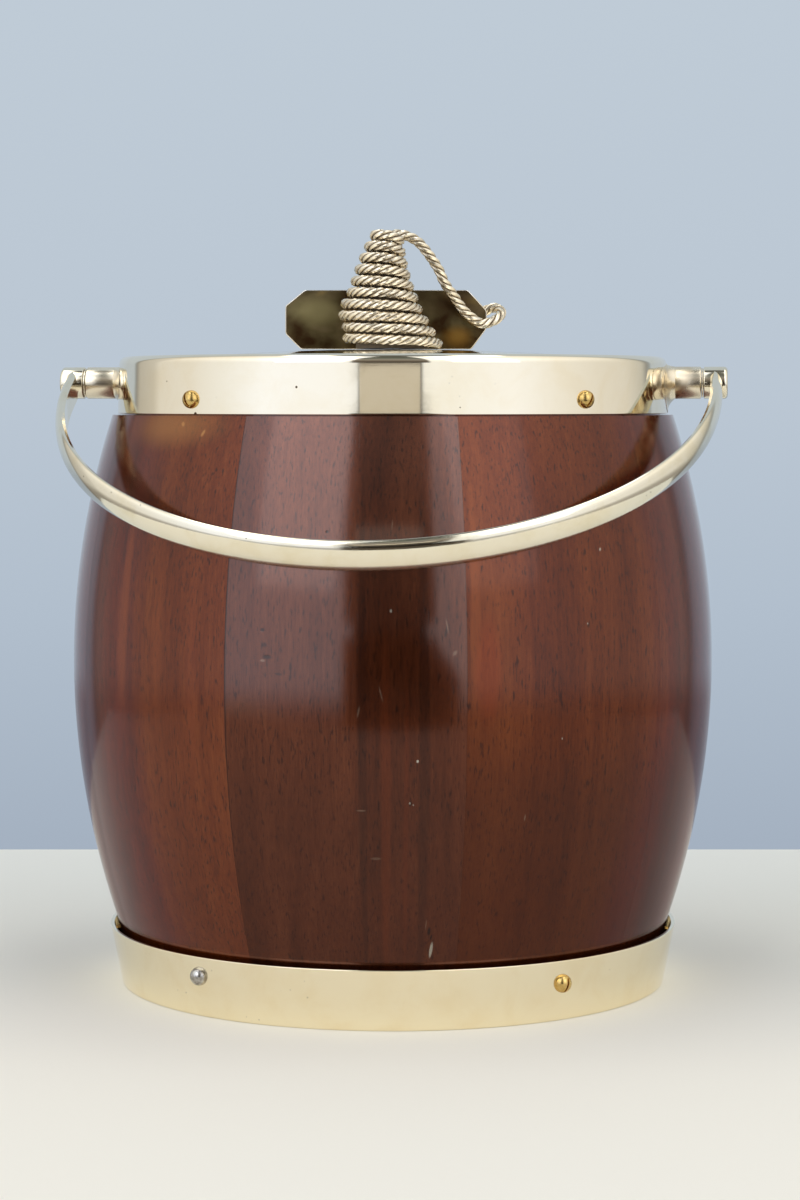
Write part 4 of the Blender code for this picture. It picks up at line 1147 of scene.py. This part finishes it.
    def screws(self) -> None:
        """Make the screws."""
        brass = PlainFinish("screw_brass", (0.72, 0.50, 0.18), (0.52, 0.34, 0.11), 0.16, 0.3, 1.0, 500.0)
        steel = PlainFinish("screw_steel", (0.66, 0.64, 0.60), (0.20, 0.18, 0.16), 0.12, 0.3, 1.0, 700.0)
        brass_material = brass.material()
        steel_material = steel.material()
        height = self.collar_top - self.collar_height + self.collar_screw_rise
        for number, (angle, roll) in enumerate(self.collar_screws, 1):
            place = radial_place(angle, height, self.collar_radius(height), 0.0, roll)
            self.add(f"round_screw_c{number}", self.screw(True, place), brass_material,
                     Slot.SCREW_BRASS, f"collar_screw_{number}")
        slope = math.atan2(self.band_top_radius - self.band_bottom_radius, self.band_height)
        height = self.band_height - self.steel_screw_drop
        place = radial_place(self.steel_screw, height, self.band_radius(height), slope)
        self.add("round_screw_b1", self.screw(False, place), steel_material, Slot.STEEL, "base_screw_1")
        height = self.band_height - self.base_screw_drop
        for number, (angle, roll) in enumerate(self.base_screws, 2):
            place = radial_place(angle, height, self.band_radius(height), slope, roll)
            self.add(f"round_screw_b{number}", self.screw(True, place), brass_material,
                     Slot.SCREW_BRASS, f"base_screw_{number}")


def axle_place(side: Side, height: float) -> Matrix:
    """Give a placement whose Z runs out along the handle's axle and whose X points down.

    Args:
        side: The side that it points to.
        height: The axle's height.

    Returns:
        The placement.
    """
    facing = Matrix.Rotation(0.0 if side is Side.RIGHT else math.pi, 4, "Z")
    return Matrix.Translation((0, 0, height)) @ facing @ Matrix.Rotation(math.pi / 2, 4, "Y")


@dataclass
class Bail(Assembly):
    """The swinging handle: a half-round bar bent to a hoop, with a hub at each end."""

    body: Body = Body.HANDLE
    pivot_height: float = 146.0 * MM
    rest_tilt: float = math.radians(26.1)
    inner_face: float = 78.05 * MM
    straight: float = 8.5 * MM
    heel: float = 1.0 * MM
    half_width: float = 3.72 * MM
    thickness: float = 2.5 * MM
    hub_thickness: float = 3.3 * MM
    edge_round: float = 0.7 * MM
    swell_length: float = 30.0 * MM
    hub_radius: float = 3.95 * MM
    hub_inner: float = 76.39 * MM
    hub_length: float = 5.8 * MM
    hub_round: float = 0.9 * MM
    hub_inner_round: float = 0.2 * MM
    bore_radius: float = 1.6 * MM
    bore_depth: float = 3.9 * MM
    hoop_steps: int = 160
    section_points: int = 20
    hub_steps: int = 96

    def section(self) -> list[tuple[float, float]]:
        """List the bar's section as (outwards, across): flat inside, half an ellipse outside."""
        bulge = self.thickness - self.edge_round
        points = [(0.0, -self.half_width + self.edge_round)]
        for step in range(self.section_points + 1):
            angle = math.pi * (step / self.section_points - 0.5)
            points.append((self.edge_round + bulge * math.cos(angle), self.half_width * math.sin(angle)))
        points.append((0.0, self.half_width - self.edge_round))
        return points

    def swell(self, vert: bmesh.types.BMVert) -> None:
        """Thicken the outer side of the bar where it nears its hubs.

        Args:
            vert: A point of the bar, which is moved.
        """
        beyond = max(-vert.co.y - self.straight, 0.0)
        centre = Vector((0, max(vert.co.y, -self.straight), vert.co.z))
        outwards = vert.co - centre
        share = (outwards.length - self.inner_face) / self.thickness
        fade = max(1 - (beyond + abs(centre.y)) / self.swell_length, 0.0) ** 2
        vert.co += outwards.normalized() * share * fade * (self.hub_thickness - self.thickness)

    def hoop(self) -> Shape:
        """Spin the bar's section from one hub round to the other."""
        shape = bmesh.new()
        verts = [shape.verts.new((self.inner_face + outwards, self.heel, across))
                 for outwards, across in self.section()]
        face = shape.faces.new(verts)
        forward = Vector((0, -self.straight - self.heel, 0))
        moved = bmesh.ops.extrude_face_region(shape, geom=[face])["geom"]
        bmesh.ops.translate(shape, verts=points_of(moved), vec=forward)
        spun = bmesh.ops.spin(shape, geom=moved, cent=(0, -self.straight, 0), axis=(0, 0, 1),
                              angle=-math.pi, steps=self.hoop_steps)
        last = [item for item in spun["geom_last"] if isinstance(item, bmesh.types.BMFace)][0]
        moved = bmesh.ops.extrude_face_region(shape, geom=[last])["geom"]
        bmesh.ops.translate(shape, verts=points_of(moved), vec=-forward)
        if last.is_valid:
            bmesh.ops.delete(shape, geom=[last], context="FACES_ONLY")
        for vert in shape.verts:
            self.swell(vert)
            if vert.co.x < 0.0:
                vert.co.x *= 1.0 + Side.LEFT.extra / self.inner_face
        bmesh.ops.recalc_face_normals(shape, faces=shape.faces)
        bmesh.ops.rotate(shape, verts=shape.verts, cent=(0, 0, 0),
                         matrix=Matrix.Rotation(self.rest_tilt, 3, "X"))
        bmesh.ops.translate(shape, verts=shape.verts, vec=(0, 0, self.pivot_height))
        return shape

    def hub(self, side: Side) -> Shape:
        """Turn a hub on its axle.

        Args:
            side: The side that it stands on.

        Returns:
            The hub's shape.
        """
        inner = self.hub_inner + side.extra
        outer = inner + self.hub_length
        floor = inner + self.bore_depth
        shape = turned([Corner(0.0, outer), Corner(self.hub_radius, outer, self.hub_round),
                        Corner(self.hub_radius, inner, self.hub_inner_round),
                        Corner(self.bore_radius, inner), Corner(self.bore_radius, floor),
                        Corner(0.0, floor)],
                       self.hub_steps, closed=False, segments=6)
        bmesh.ops.transform(shape, matrix=axle_place(side, self.pivot_height), verts=shape.verts)
        return shape

    def build(self) -> None:
        """Make the handle."""
        plate = PlatedFinish("handle_plate", (0.90, 0.83, 0.67), (0.85, 0.76, 0.56), 0.08, 0.16,
                             scratch_depth=0.004 * MM, pits=0.8)
        whole = self.hoop()
        for side in Side:
            merge_into(whole, self.hub(side))
        self.add("plated_bail", whole, plate.material(), Slot.HANDLE_PLATE, "bail_handle")
        material = PlainFinish("pin_steel", *TURNED_STEEL).material()
        for side in Side:
            self.shop.dress(f"pivot_pin_{side.name.lower()}", material)


def merge_into(whole: Shape, part: Shape) -> None:
    """Add one shape's mesh to another and free it.

    Args:
        whole: The shape that grows.
        part: The shape that is added.
    """
    mesh = bpy.data.meshes.new("merged")
    part.to_mesh(mesh)
    part.free()
    whole.from_mesh(mesh)
    bpy.data.meshes.remove(mesh)


def points_of(made: list[bmesh.types.BMVert | bmesh.types.BMEdge | bmesh.types.BMFace]) -> list:
    """List the points among what an operator has made."""
    return [item for item in made if isinstance(item, bmesh.types.BMVert)]


@dataclass
class Lid(Assembly):
    """The domed lid with its bezel."""

    body: Body = Body.LID
    ledge_top: float = 150.0 * MM
    seat: float = 0.3 * MM
    radius: float = 62.2 * MM
    sheet: float = 1.0 * MM
    rise: float = 2.9 * MM
    hole: float = 2.3 * MM
    bezel_radius: float = 55.1 * MM
    bezel_wall: float = 0.8 * MM
    bezel_depth: float = 7.2 * MM
    bezel_flange: float = 3.0 * MM
    rim_round: float = 0.35 * MM
    hole_round: float = 0.3 * MM
    bezel_round: float = 0.2 * MM
    bezel_corner_round: float = 0.3 * MM
    bezel_gap: float = 0.02 * MM
    dome_points: int = 28
    dome_steps: int = 240
    bezel_steps: int = 180

    @property
    def crown(self) -> float:
        """Give the height of the lid's middle."""
        return self.ledge_top + self.seat + self.sheet + self.rise

    def dome_height(self, radius: float) -> float:
        """Give the height of the lid's top at a distance from its middle."""
        dome = (self.radius ** 2 + self.rise ** 2) / (2 * self.rise)
        return self.crown - dome + math.sqrt(dome ** 2 - radius ** 2)

    def build(self) -> None:
        """Make the lid."""
        plate = PlatedFinish("lid_plate", (0.92, 0.87, 0.75), (0.86, 0.79, 0.62), 0.07, 0.14).material()
        self.add("domed_lid", self.dome(), plate, Slot.LID_PLATE, "lid_cover")
        self.add("lid_ring", self.bezel(), plate, Slot.LID_PLATE, "lid_bezel")

    def dome(self) -> Shape:
        """Turn the domed sheet with the hole for the stud."""
        top = []
        for step in range(self.dome_points + 1):
            radius = self.hole + (self.radius - self.hole) * step / self.dome_points
            top.append(Corner(radius, self.dome_height(radius)))
        under = [Corner(point.radius, point.height - self.sheet) for point in reversed(top)]
        top[-1] = Corner(top[-1].radius, top[-1].height, self.rim_round)
        under[0] = Corner(under[0].radius, under[0].height, self.hole_round)
        return turned(top + under, self.dome_steps)

    def bezel(self) -> Shape:
        """Turn the ring that drops into the pot's mouth."""
        outer = self.bezel_radius
        inner = outer - self.bezel_flange
        wall = self.bezel_wall
        high = self.dome_height(outer) - self.sheet - self.bezel_gap
        flange = self.dome_height(inner) - self.sheet - self.bezel_gap
        bottom = high - self.bezel_depth
        ease = self.bezel_round
        return turned([Corner(inner, flange), Corner(outer, high), Corner(outer, bottom, ease),
                       Corner(outer - wall, bottom, ease),
                       Corner(outer - wall, high - wall, self.bezel_corner_round),
                       Corner(inner, flange - wall, ease)], self.bezel_steps)


@dataclass
class Finial(Assembly):
    """The wound rope, the cone inside it, its fixings and the plaque behind it."""

    body: Body = Body.LID
    crown: float = 154.2 * MM
    turn: float = math.radians(6.5)
    rope_radius: float = 1.1 * MM
    thick_radius: float = 1.30 * MM
    turns: float = 9.75
    pitch: float = 2.8 * MM
    low_gap: float = 0.4 * MM
    top_radius: float = 3.2 * MM
    radius_step: float = 0.86 * MM
    first_shift: float = -0.1 * MM
    lean: float = -1.3 * MM
    bow: float = -2.0 * MM
    nod: float = 0.27
    slack: float = 0.65 * MM
    slack_turn: float = 2.9
    slack_spread: float = 1.1
    slack_shift: float = 1.4
    points_per_turn: int = 40
    lead_shares: tuple[float, ...] = (1.0, 0.8, 0.6, 0.4, 0.2)
    tail_pieces: int = 8
    tail_end: Triple = (-0.9 * MM, 0.3 * MM, -0.3 * MM)
    tail: tuple[Triple, ...] = (
        (0.6, 3.25, 27.1), (3.4, 3.6, 26.8), (6.3, 4.2, 25.3), (8.9, 5.0, 22.3), (11.5, 6.2, 18.4),
        (12.9, 7.2, 15.3), (15.2, 8.8, 12.1), (17.5, 10.3, 8.8), (20.1, 11.0, 6.4), (22.4, 11.3, 5.2),
        (25.2, 11.7, 5.9), (27.0, 13.2, 7.3), (27.1, 15.4, 8.6), (25.7, 17.5, 9.3), (23.8, 18.3, 8.8),
        (22.1, 17.9, 8.1))
    strands: int = 4
    strand_fill: float = 1.05
    lay: float = 8.6 * MM
    plaque_front: float = 12.955 * MM
    plaque_thickness: float = 1.0 * MM
    plaque_lift: float = 0.3 * MM
    plaque_height: float = 14.9 * MM
    plaque_left: float = -27.0 * MM
    plaque_right: float = 23.6 * MM
    low_cuts: tuple[Span, Span] = ((3.9 * MM, 3.9 * MM), (3.9 * MM, 5.2 * MM))
    high_cuts: tuple[Span, Span] = ((4.9 * MM, 4.0 * MM), (4.7 * MM, 5.2 * MM))
    corner_round: float = 0.5 * MM
    rim_round: float = 0.2 * MM
    face_share: float = 0.98

    @property
    def start_height(self) -> float:
        """Give the height of the winding's first turn."""
        return self.crown + self.low_gap + self.rope_radius

    def coil_point(self, turns: float) -> Vector:
        """Give a point of the winding after a number of turns."""
        share = turns / self.turns
        radius = self.top_radius + self.radius_step * (self.turns - 0.5) - self.radius_step * turns
        slack = math.exp(-((turns - self.slack_turn) / self.slack_spread) ** 2)
        radius += self.slack * slack
        shift = self.first_shift + self.lean * share + self.bow * math.sin(math.pi * share)
        shift -= self.slack_shift * self.slack * slack
        angle = -math.tau * turns
        depth = radius * math.sin(angle)
        height = self.start_height + self.pitch * turns - self.nod * share ** 2 * depth
        return Vector((shift + radius * math.cos(angle), depth, height))

    def route(self) -> list[Vector]:
        """List the rope's middle line: lead, winding and tail."""
        steps = int(self.turns * self.points_per_turn)
        coil = [self.coil_point(step / self.points_per_turn) for step in range(steps + 1)]
        start = coil[0]
        along, gap, drop = self.tail_end
        lead = [Vector((start.x, (self.plaque_front - gap) * share, start.z)) for share in self.lead_shares]
        points = [Vector((x * MM, y * MM, self.start_height + z * MM)) for x, y, z in self.tail]
        back = self.plaque_front + self.plaque_thickness + gap
        end_x = points[-1].x + along
        end_height = points[-1].z + drop
        points.append(Vector((end_x, back + 2 * self.rope_radius, end_height)))
        points.append(Vector((end_x, back, end_height)))
        tail = smooth_through([coil[-5], coil[-1], *points], self.tail_pieces)
        return lead + coil + tail[self.tail_pieces + 1:]

    def strand_line(self, route: list[Vector], radius: float, phase: float) -> list[Vector]:
        """Wind one strand's middle line round the rope's.

        Args:
            route: The rope's middle line.
            radius: How far the strand's own middle lies from it.
            phase: Where round the rope it starts.

        Returns:
            The strand's middle line.
        """
        line = []
        travelled = 0.0
        before = route[0]
        for point, forward, side in travelling_frames(route):
            travelled += (point - before).length
            before = point
            angle = phase - math.tau * travelled / self.lay
            outwards = side * math.cos(angle) + forward.cross(side) * math.sin(angle)
            line.append(point + outwards * radius)
        return line

    def keep_depths(self, shape: Shape, route: list[Vector], name: str) -> None:
        """Keep how far out of the rope's middle each point stands, 1 on the outside.

        Args:
            shape: The rope's strands.
            route: The rope's middle line.
            name: The name of the attribute that keeps it.
        """
        fine = smooth_through(route, 4)
        tree = KDTree(len(fine))
        for index, point in enumerate(fine):
            tree.insert(point, index)
        tree.balance()
        layer = shape.verts.layers.float.new(name)
        for vert in shape.verts:
            vert[layer] = tree.find(vert.co)[2] / self.thick_radius

    def plaque(self) -> Shape:
        """Draw the plaque's outline, give it its thickness and ease its edges."""
        bottom = self.crown + self.plaque_lift
        top = bottom + self.plaque_height
        left = self.plaque_left
        right = self.plaque_right
        (left_in, left_up), (right_in, right_up) = self.low_cuts
        (left_back, left_down), (right_back, right_down) = self.high_cuts
        outline = [(left, bottom + left_up), (left + left_in, bottom), (right - right_in, bottom),
                   (right, bottom + right_up), (right, top - right_down), (right - right_back, top),
                   (left + left_back, top), (left, top - left_down)]
        shape = bmesh.new()
        face = shape.faces.new([shape.verts.new((x, self.plaque_front, z)) for x, z in outline])
        moved = bmesh.ops.extrude_face_region(shape, geom=[face])["geom"]
        bmesh.ops.translate(shape, verts=points_of(moved), vec=(0, self.plaque_thickness, 0))
        bmesh.ops.recalc_face_normals(shape, faces=shape.faces)
        corners = [edge for edge in shape.edges
                   if abs(edge.verts[0].co.y - edge.verts[1].co.y) > self.plaque_thickness / 2]
        round_edges(shape, corners, self.corner_round, 4)
        rims = [edge for edge in shape.edges
                if edge.calc_face_angle(0.0) > math.radians(60)]
        round_edges(shape, rims, self.rim_round, 3)
        return shape

    def build(self) -> None:
        """Make the finial."""
        material = self.rope()
        # The core inside the coil has no depth attribute, so it takes the dark hollow tone, partly patina
        # and partly painted shade.
        self.shop.dress("finial_core", material)
        brass = PlaqueFinish("plaque_brass")
        # The plaque's bevelled rim faces take a pale plate as a painted highlight along its edges; the flat
        # faces keep the brass.
        rim = PlatedFinish("plaque_rim_highlight", (0.86, 0.82, 0.78), (0.62, 0.52, 0.36), 0.2, 0.3)
        shape = self.plaque()
        for face in shape.faces:
            face.material_index = 0 if abs(face.normal.y) > self.face_share else 1
        bmesh.ops.transform(shape, matrix=Matrix.Rotation(self.turn, 4, "Z"), verts=shape.verts)
        plaque = self.add("cut_plaque", shape, brass.material(), Slot.PLAQUE_BRASS, "plaque")
        plaque.data.materials.append(rim.material())
        nut = PlainFinish("nut_brass", (0.68, 0.48, 0.19), (0.5, 0.34, 0.12), 0.2, 0.34, 1.0, 400.0)
        material = nut.material()
        for node in ("finial_washer", "finial_nut"):
            self.shop.dress(node, material)
        self.shop.dress("finial_stud", PlainFinish("stud_steel", *TURNED_STEEL).material())

    def rope(self) -> bpy.types.Material:
        """Lay the rope from its strands and give its finish."""
        finish = RopeFinish("rope_metal")
        route = self.route()
        strand = self.thick_radius / (1 + 1 / math.sin(math.pi / self.strands))
        ring = self.thick_radius - strand
        whole = bmesh.new()
        for number in range(self.strands):
            line = self.strand_line(route, ring, math.tau * number / self.strands)
            merge_into(whole, tube("strand", line, strand * self.strand_fill))
        self.keep_depths(whole, route, finish.attribute)
        bmesh.ops.transform(whole, matrix=Matrix.Rotation(self.turn, 4, "Z"), verts=whole.verts)
        material = finish.material()
        self.add("laid_rope", whole, material, Slot.ROPE_METAL, "finial_rope")
        return material


def tube(name: str, line: list[Vector], radius: float) -> Shape:
    """Sweep a circle along a line, with a flat cap at each end.

    Args:
        name: The name of the curve that sweeps it.
        line: The points of its middle line.
        radius: Its radius.

    Returns:
        The tube's shape.
    """
    curve = bpy.data.curves.new(name, "CURVE")
    curve.dimensions = "3D"
    curve.bevel_depth = radius
    curve.bevel_resolution = 2
    curve.use_fill_caps = True
    spline = curve.splines.new("POLY")
    spline.points.add(len(line) - 1)
    for point, place in zip(spline.points, line):
        point.co = (*place, 1.0)
    holder = bpy.data.objects.new(name, curve)
    mesh = bpy.data.meshes.new_from_object(holder)
    shape = bmesh.new()
    shape.from_mesh(mesh)
    bpy.data.objects.remove(holder)
    bpy.data.meshes.remove(mesh)
    bpy.data.curves.remove(curve)
    bmesh.ops.remove_doubles(shape, verts=shape.verts, dist=WELD)
    bmesh.ops.recalc_face_normals(shape, faces=shape.faces)
    return shape


def smooth_through(points: list[Vector], pieces: int) -> list[Vector]:
    """List points of one smooth curve through the given ones.

    Args:
        points: The points to pass through.
        pieces: How many pieces each span is divided into.

    Returns:
        The curve's points.
    """
    padded = [2 * points[0] - points[1], *points, 2 * points[-1] - points[-2]]
    smooth = []
    for before, first, second, after in zip(padded, padded[1:], padded[2:], padded[3:]):
        for step in range(pieces):
            t = step / pieces
            smooth.append(0.5 * (2 * first + (second - before) * t
                                 + (2 * before - 5 * first + 4 * second - after) * t ** 2
                                 + (3 * first - before - 3 * second + after) * t ** 3))
    smooth.append(points[-1].copy())
    return smooth


def travelling_frames(route: list[Vector]) -> list[tuple[Vector, Vector, Vector]]:
    """Carry a side direction along a route without twisting it.

    Args:
        route: The points of the route.

    Returns:
        For each point its place, the way forward and the side direction.
    """
    frames = []
    side = Vector((0, 0, 1))
    for index, point in enumerate(route):
        before = route[max(index - 1, 0)]
        after = route[min(index + 1, len(route) - 1)]
        forward = (after - before).normalized()
        side = (side - forward * side.dot(forward)).normalized()
        frames.append((point, forward, side))
    return frames


@dataclass(frozen=True)
class Lamp:
    """A soft box that faces the barrel, its angle in degrees from the camera's side."""

    name: str
    angle: float
    reach: float
    height: float
    size: Span
    power: float
    colour: Colour = (1.0, 1.0, 1.0)


@dataclass
class Studio:
    """The floor, the lights, the surroundings and the camera.

    The stops and sides of the surroundings are in degrees, of height or to the right of the camera's
    side. A rise runs from 0, straight down, to 1, straight up.
    """

    view_turn: float = math.radians(6.5)
    distance: float = 0.739
    eye_height: float = 0.143
    focal: float = 89.8
    shift: Span = (0.006, -0.1708)
    lamp_aim: float = 0.12
    lamps: tuple[Lamp, ...] = (
        Lamp("box_left", -34.0, 1.3, 0.75, (0.75, 0.95), 1.7),
        Lamp("box_right", 38.0, 1.3, 0.75, (0.75, 0.95), 1.5),
        Lamp("card", -0.95, 0.205, 0.1499, (0.0731, 0.0152), 0.0020, (1.0, 0.94, 0.82)))
    floor_half_width: float = 0.46
    floor_front: float = 0.385
    floor_back: float = 0.203
    floor_colour: Colour = (0.86, 0.82, 0.73)
    floor_far_shaded_colour: Colour = (0.74, 0.74, 0.69)
    floor_shade_fade: Span = (-0.12, 0.16)
    floor_rough: float = 0.9
    floor_grain: float = 900.0
    floor_relief: float = 0.02 * MM
    wall: Stops = (
        (-9.0, (0.365, 0.430, 0.520)), (-4.0, (0.445, 0.520, 0.610)), (0.0, (0.495, 0.568, 0.652)),
        (7.5, (0.522, 0.597, 0.675)))
    wall_sides: Span = (134.0, 137.0)
    wall_rises: Span = (0.955, 0.93)
    room: Stops = (
        (-136.0, (0.36, 0.42, 0.48)), (-133.0, (0.28, 0.28, 0.27)), (-130.0, (0.50, 0.49, 0.46)),
        (-117.0, (0.60, 0.59, 0.56)), (-112.0, (0.76, 0.75, 0.72)), (-90.0, (0.84, 0.84, 0.83)),
        (-75.0, (0.92, 0.95, 0.99)), (-54.0, (1.06, 1.13, 1.28)), (-16.0, (1.03, 1.08, 1.18)),
        (15.0, (1.00, 1.03, 1.06)), (50.0, (1.04, 1.08, 1.16)), (75.0, (0.90, 0.90, 0.89)),
        (95.0, (0.80, 0.79, 0.76)), (112.0, (0.74, 0.73, 0.70)), (126.0, (0.56, 0.56, 0.53)),
        (131.0, (0.30, 0.31, 0.31)), (136.0, (0.36, 0.42, 0.48)))
    half_lift: tuple[Span, ...] = ((6.0, 0.50), (20.0, 0.55), (34.0, 0.65), (60.0, 0.65))
    gap: Stops = (
        (1.9, (0.020, 0.016, 0.012)), (3.5, (0.07, 0.065, 0.06)), (14.0, (0.13, 0.11, 0.09)),
        (32.0, (0.30, 0.28, 0.26)), (44.0, (0.20, 0.21, 0.20)), (60.0, (0.11, 0.12, 0.11)))
    gap_middle: float = -1.0
    gap_half_width: float = 12.8
    gap_blur: float = 1.0
    gap_steps: tuple[tuple[float, Span], ...] = ((3.5, (0.5117, 0.5078)), (3.2, (0.5185, 0.5222)))
    gap_right: float = 8.0
    gap_right_sides: Span = (0.0, 6.0)
    gap_right_rises: Span = (0.508, 0.47)
    ground: Colour = (0.14, 0.12, 0.10)
    ground_share: float = 0.6
    ground_rises: Span = (0.48, 0.43)
    zenith: Colour = (0.12, 0.125, 0.12)
    zenith_rises: Span = (0.925, 0.94)
    ceiling: Colour = (3.0, 2.97, 2.83)
    ceiling_rises: tuple[Span, Span] = ((0.86, 0.875), (0.925, 0.915))
    ceiling_sides: Span = (26.0, 32.0)

    def out(self, angle: float, reach: float, height: float) -> Vector:
        """Give a place at an angle in degrees from the camera's side, towards its right."""
        heading = math.radians(angle) + self.view_turn
        return Vector((math.sin(heading) * reach, -math.cos(heading) * reach, height))

    def hang(self, lamp: Lamp) -> None:
        """Hang one soft box.

        Args:
            lamp: What it is like.
        """
        light = bpy.data.lights.new(lamp.name, "AREA")
        light.shape = "RECTANGLE"
        light.size, light.size_y = lamp.size
        light.energy = lamp.power
        light.color = lamp.colour
        holder = bpy.data.objects.new(lamp.name, light)
        bpy.context.scene.collection.objects.link(holder)
        holder.location = self.out(lamp.angle, lamp.reach, lamp.height)
        aim = Vector((0, 0, self.lamp_aim)) - holder.location
        holder.rotation_euler = aim.to_track_quat("-Z", "Y").to_euler()

    def floor(self) -> None:
        """Lay the floor, its colour painted greyer and darker towards the back as shade."""
        shape = bmesh.new()
        bmesh.ops.create_grid(shape, x_segments=1, y_segments=1, size=1.0)
        depth = (self.floor_front + self.floor_back) / 2
        bmesh.ops.scale(shape, verts=shape.verts, vec=(self.floor_half_width, depth, 1.0))
        bmesh.ops.translate(shape, verts=shape.verts, vec=(0, self.floor_back - depth, 0))
        bmesh.ops.rotate(shape, verts=shape.verts, cent=(0, 0, 0),
                         matrix=Matrix.Rotation(self.view_turn, 3, "Z"))
        mesh = bpy.data.meshes.new("floor")
        shape.to_mesh(mesh)
        shape.free()
        floor = bpy.data.objects.new("floor", mesh)
        bpy.context.scene.collection.objects.link(floor)
        sheet = Sheet(bpy.data.materials.new("floor_paint"))
        place = sheet.coordinates()
        # The floor's colour fades to a darker grey towards the back: painted shade.
        far = sheet.step(sheet.parts(place)[1], *self.floor_shade_fade)
        colour = sheet.mix(far, self.floor_colour, self.floor_far_shaded_colour)
        grain = sheet.noise(place, self.floor_grain)
        mesh.materials.append(sheet.finish(colour, self.floor_rough, 0.0,
                                           sheet.bump(grain, self.floor_relief)))

    def in_gap(self, sheet: Sheet, side: Socket, rise: Socket) -> Socket:
        """Tell how far a direction lies in the dark gap in front of the barrel.

        Args:
            sheet: The sheet that is written.
            side: The direction's side in radians.
            rise: Its rise.

        Returns:
            1 inside the gap and 0 outside.
        """
        edge = math.radians(self.gap_half_width)
        for width, rises in self.gap_steps:
            edge = sheet.sum("MULTIPLY_ADD", sheet.step(rise, *rises), math.radians(width), edge)
        right = sheet.times(sheet.step(side, *map(math.radians, self.gap_right_sides)),
                            sheet.step(rise, *self.gap_right_rises))
        edge = sheet.sum("MULTIPLY_ADD", right, math.radians(self.gap_right), edge)
        aside = sheet.sum("ABSOLUTE", sheet.sum("ADD", side, math.radians(-self.gap_middle)))
        blur = math.radians(self.gap_blur)
        return sheet.step(sheet.sum("SUBTRACT", aside, edge), blur, -blur)

    def surroundings(self) -> None:
        """Light the scene from a plain cream room with a pale blue-grey wall behind the barrel."""
        world = bpy.data.worlds.new("room")
        bpy.context.scene.world = world
        sheet = Sheet(world)
        away = sheet.node("TexCoord", {}).outputs["Generated"]
        x, y, z = sheet.parts(sheet.turned(away, self.view_turn))
        side = sheet.sum("ARCTAN2", x, sheet.times(y, -1.0))
        aside = sheet.sum("ABSOLUTE", side)
        share = sheet.sum("MULTIPLY_ADD", side, 0.5 / math.pi, 0.5)
        rise = sheet.sum("MULTIPLY_ADD", sheet.sum("ARCSINE", z), 1 / math.pi, 0.5)
        wall = sheet.ramp(rise, *by_angle(self.wall, 180))
        room = sheet.ramp(share, *by_angle(self.room, 360))
        gap = sheet.ramp(rise, *by_angle(self.gap, 180))
        lift = sheet.mix(1.0, sheet.ramp(rise, *by_angle(self.half_lift, 180)), (2.0, 2.0, 2.0), "MULTIPLY")
        room = sheet.mix(1.0, room, lift, "MULTIPLY")
        room = sheet.mix(self.in_gap(sheet, side, rise), room, gap)
        low = sheet.times(sheet.step(rise, *self.ground_rises), self.ground_share)
        room = sheet.mix(low, room, self.ground)
        room = sheet.mix(sheet.step(rise, *self.zenith_rises), room, self.zenith)
        start, end = self.ceiling_rises
        high = sheet.times(sheet.step(rise, *start), sheet.step(rise, *end))
        high = sheet.times(high, sheet.step(aside, *map(math.radians, self.ceiling_sides)))
        room = sheet.mix(high, room, self.ceiling)
        behind = sheet.times(sheet.step(aside, *map(math.radians, self.wall_sides)),
                             sheet.step(rise, *self.wall_rises))
        seen = sheet.node("LightPath", {}).outputs["Is Camera Ray"]
        shown = sheet.mix(sheet.sum("MAXIMUM", seen, behind), room, wall)
        sheet.put(sheet.tree.nodes["Background"].inputs["Color"], shown)

    def camera(self) -> None:
        """Set up the camera where the photograph was taken."""
        data = bpy.data.cameras.new("camera")
        data.lens = self.focal
        data.shift_x, data.shift_y = self.shift
        camera = bpy.data.objects.new("camera", data)
        bpy.context.scene.collection.objects.link(camera)
        camera.location = self.out(0.0, self.distance, self.eye_height)
        camera.rotation_euler = (math.pi / 2, 0, self.view_turn)
        bpy.context.scene.camera = camera

    def build(self) -> None:
        """Set up everything."""
        self.floor()
        self.surroundings()
        for lamp in self.lamps:
            self.hang(lamp)
        self.camera()
        bpy.context.scene.view_settings.view_transform = "Standard"


def by_angle(stops: tuple, whole: float) -> list[tuple]:
    """Turn stops by angle into stops between 0 and 1 that span the whole angle."""
    return [(0.5 + angle / whole, shade) for angle, shade in stops]


def main() -> None:
    """Build the studio and every sub-assembly."""
    logging.basicConfig(level=logging.INFO, format="%(message)s")
    shop = Workshop()
    Studio().build()
    for assembly in (Cask, Mounts, Bail, Lid, Finial):
        assembly(shop).build()
    LOG.info("%d pieces", len(shop.pieces))


if __name__ == "__main__":
    main()
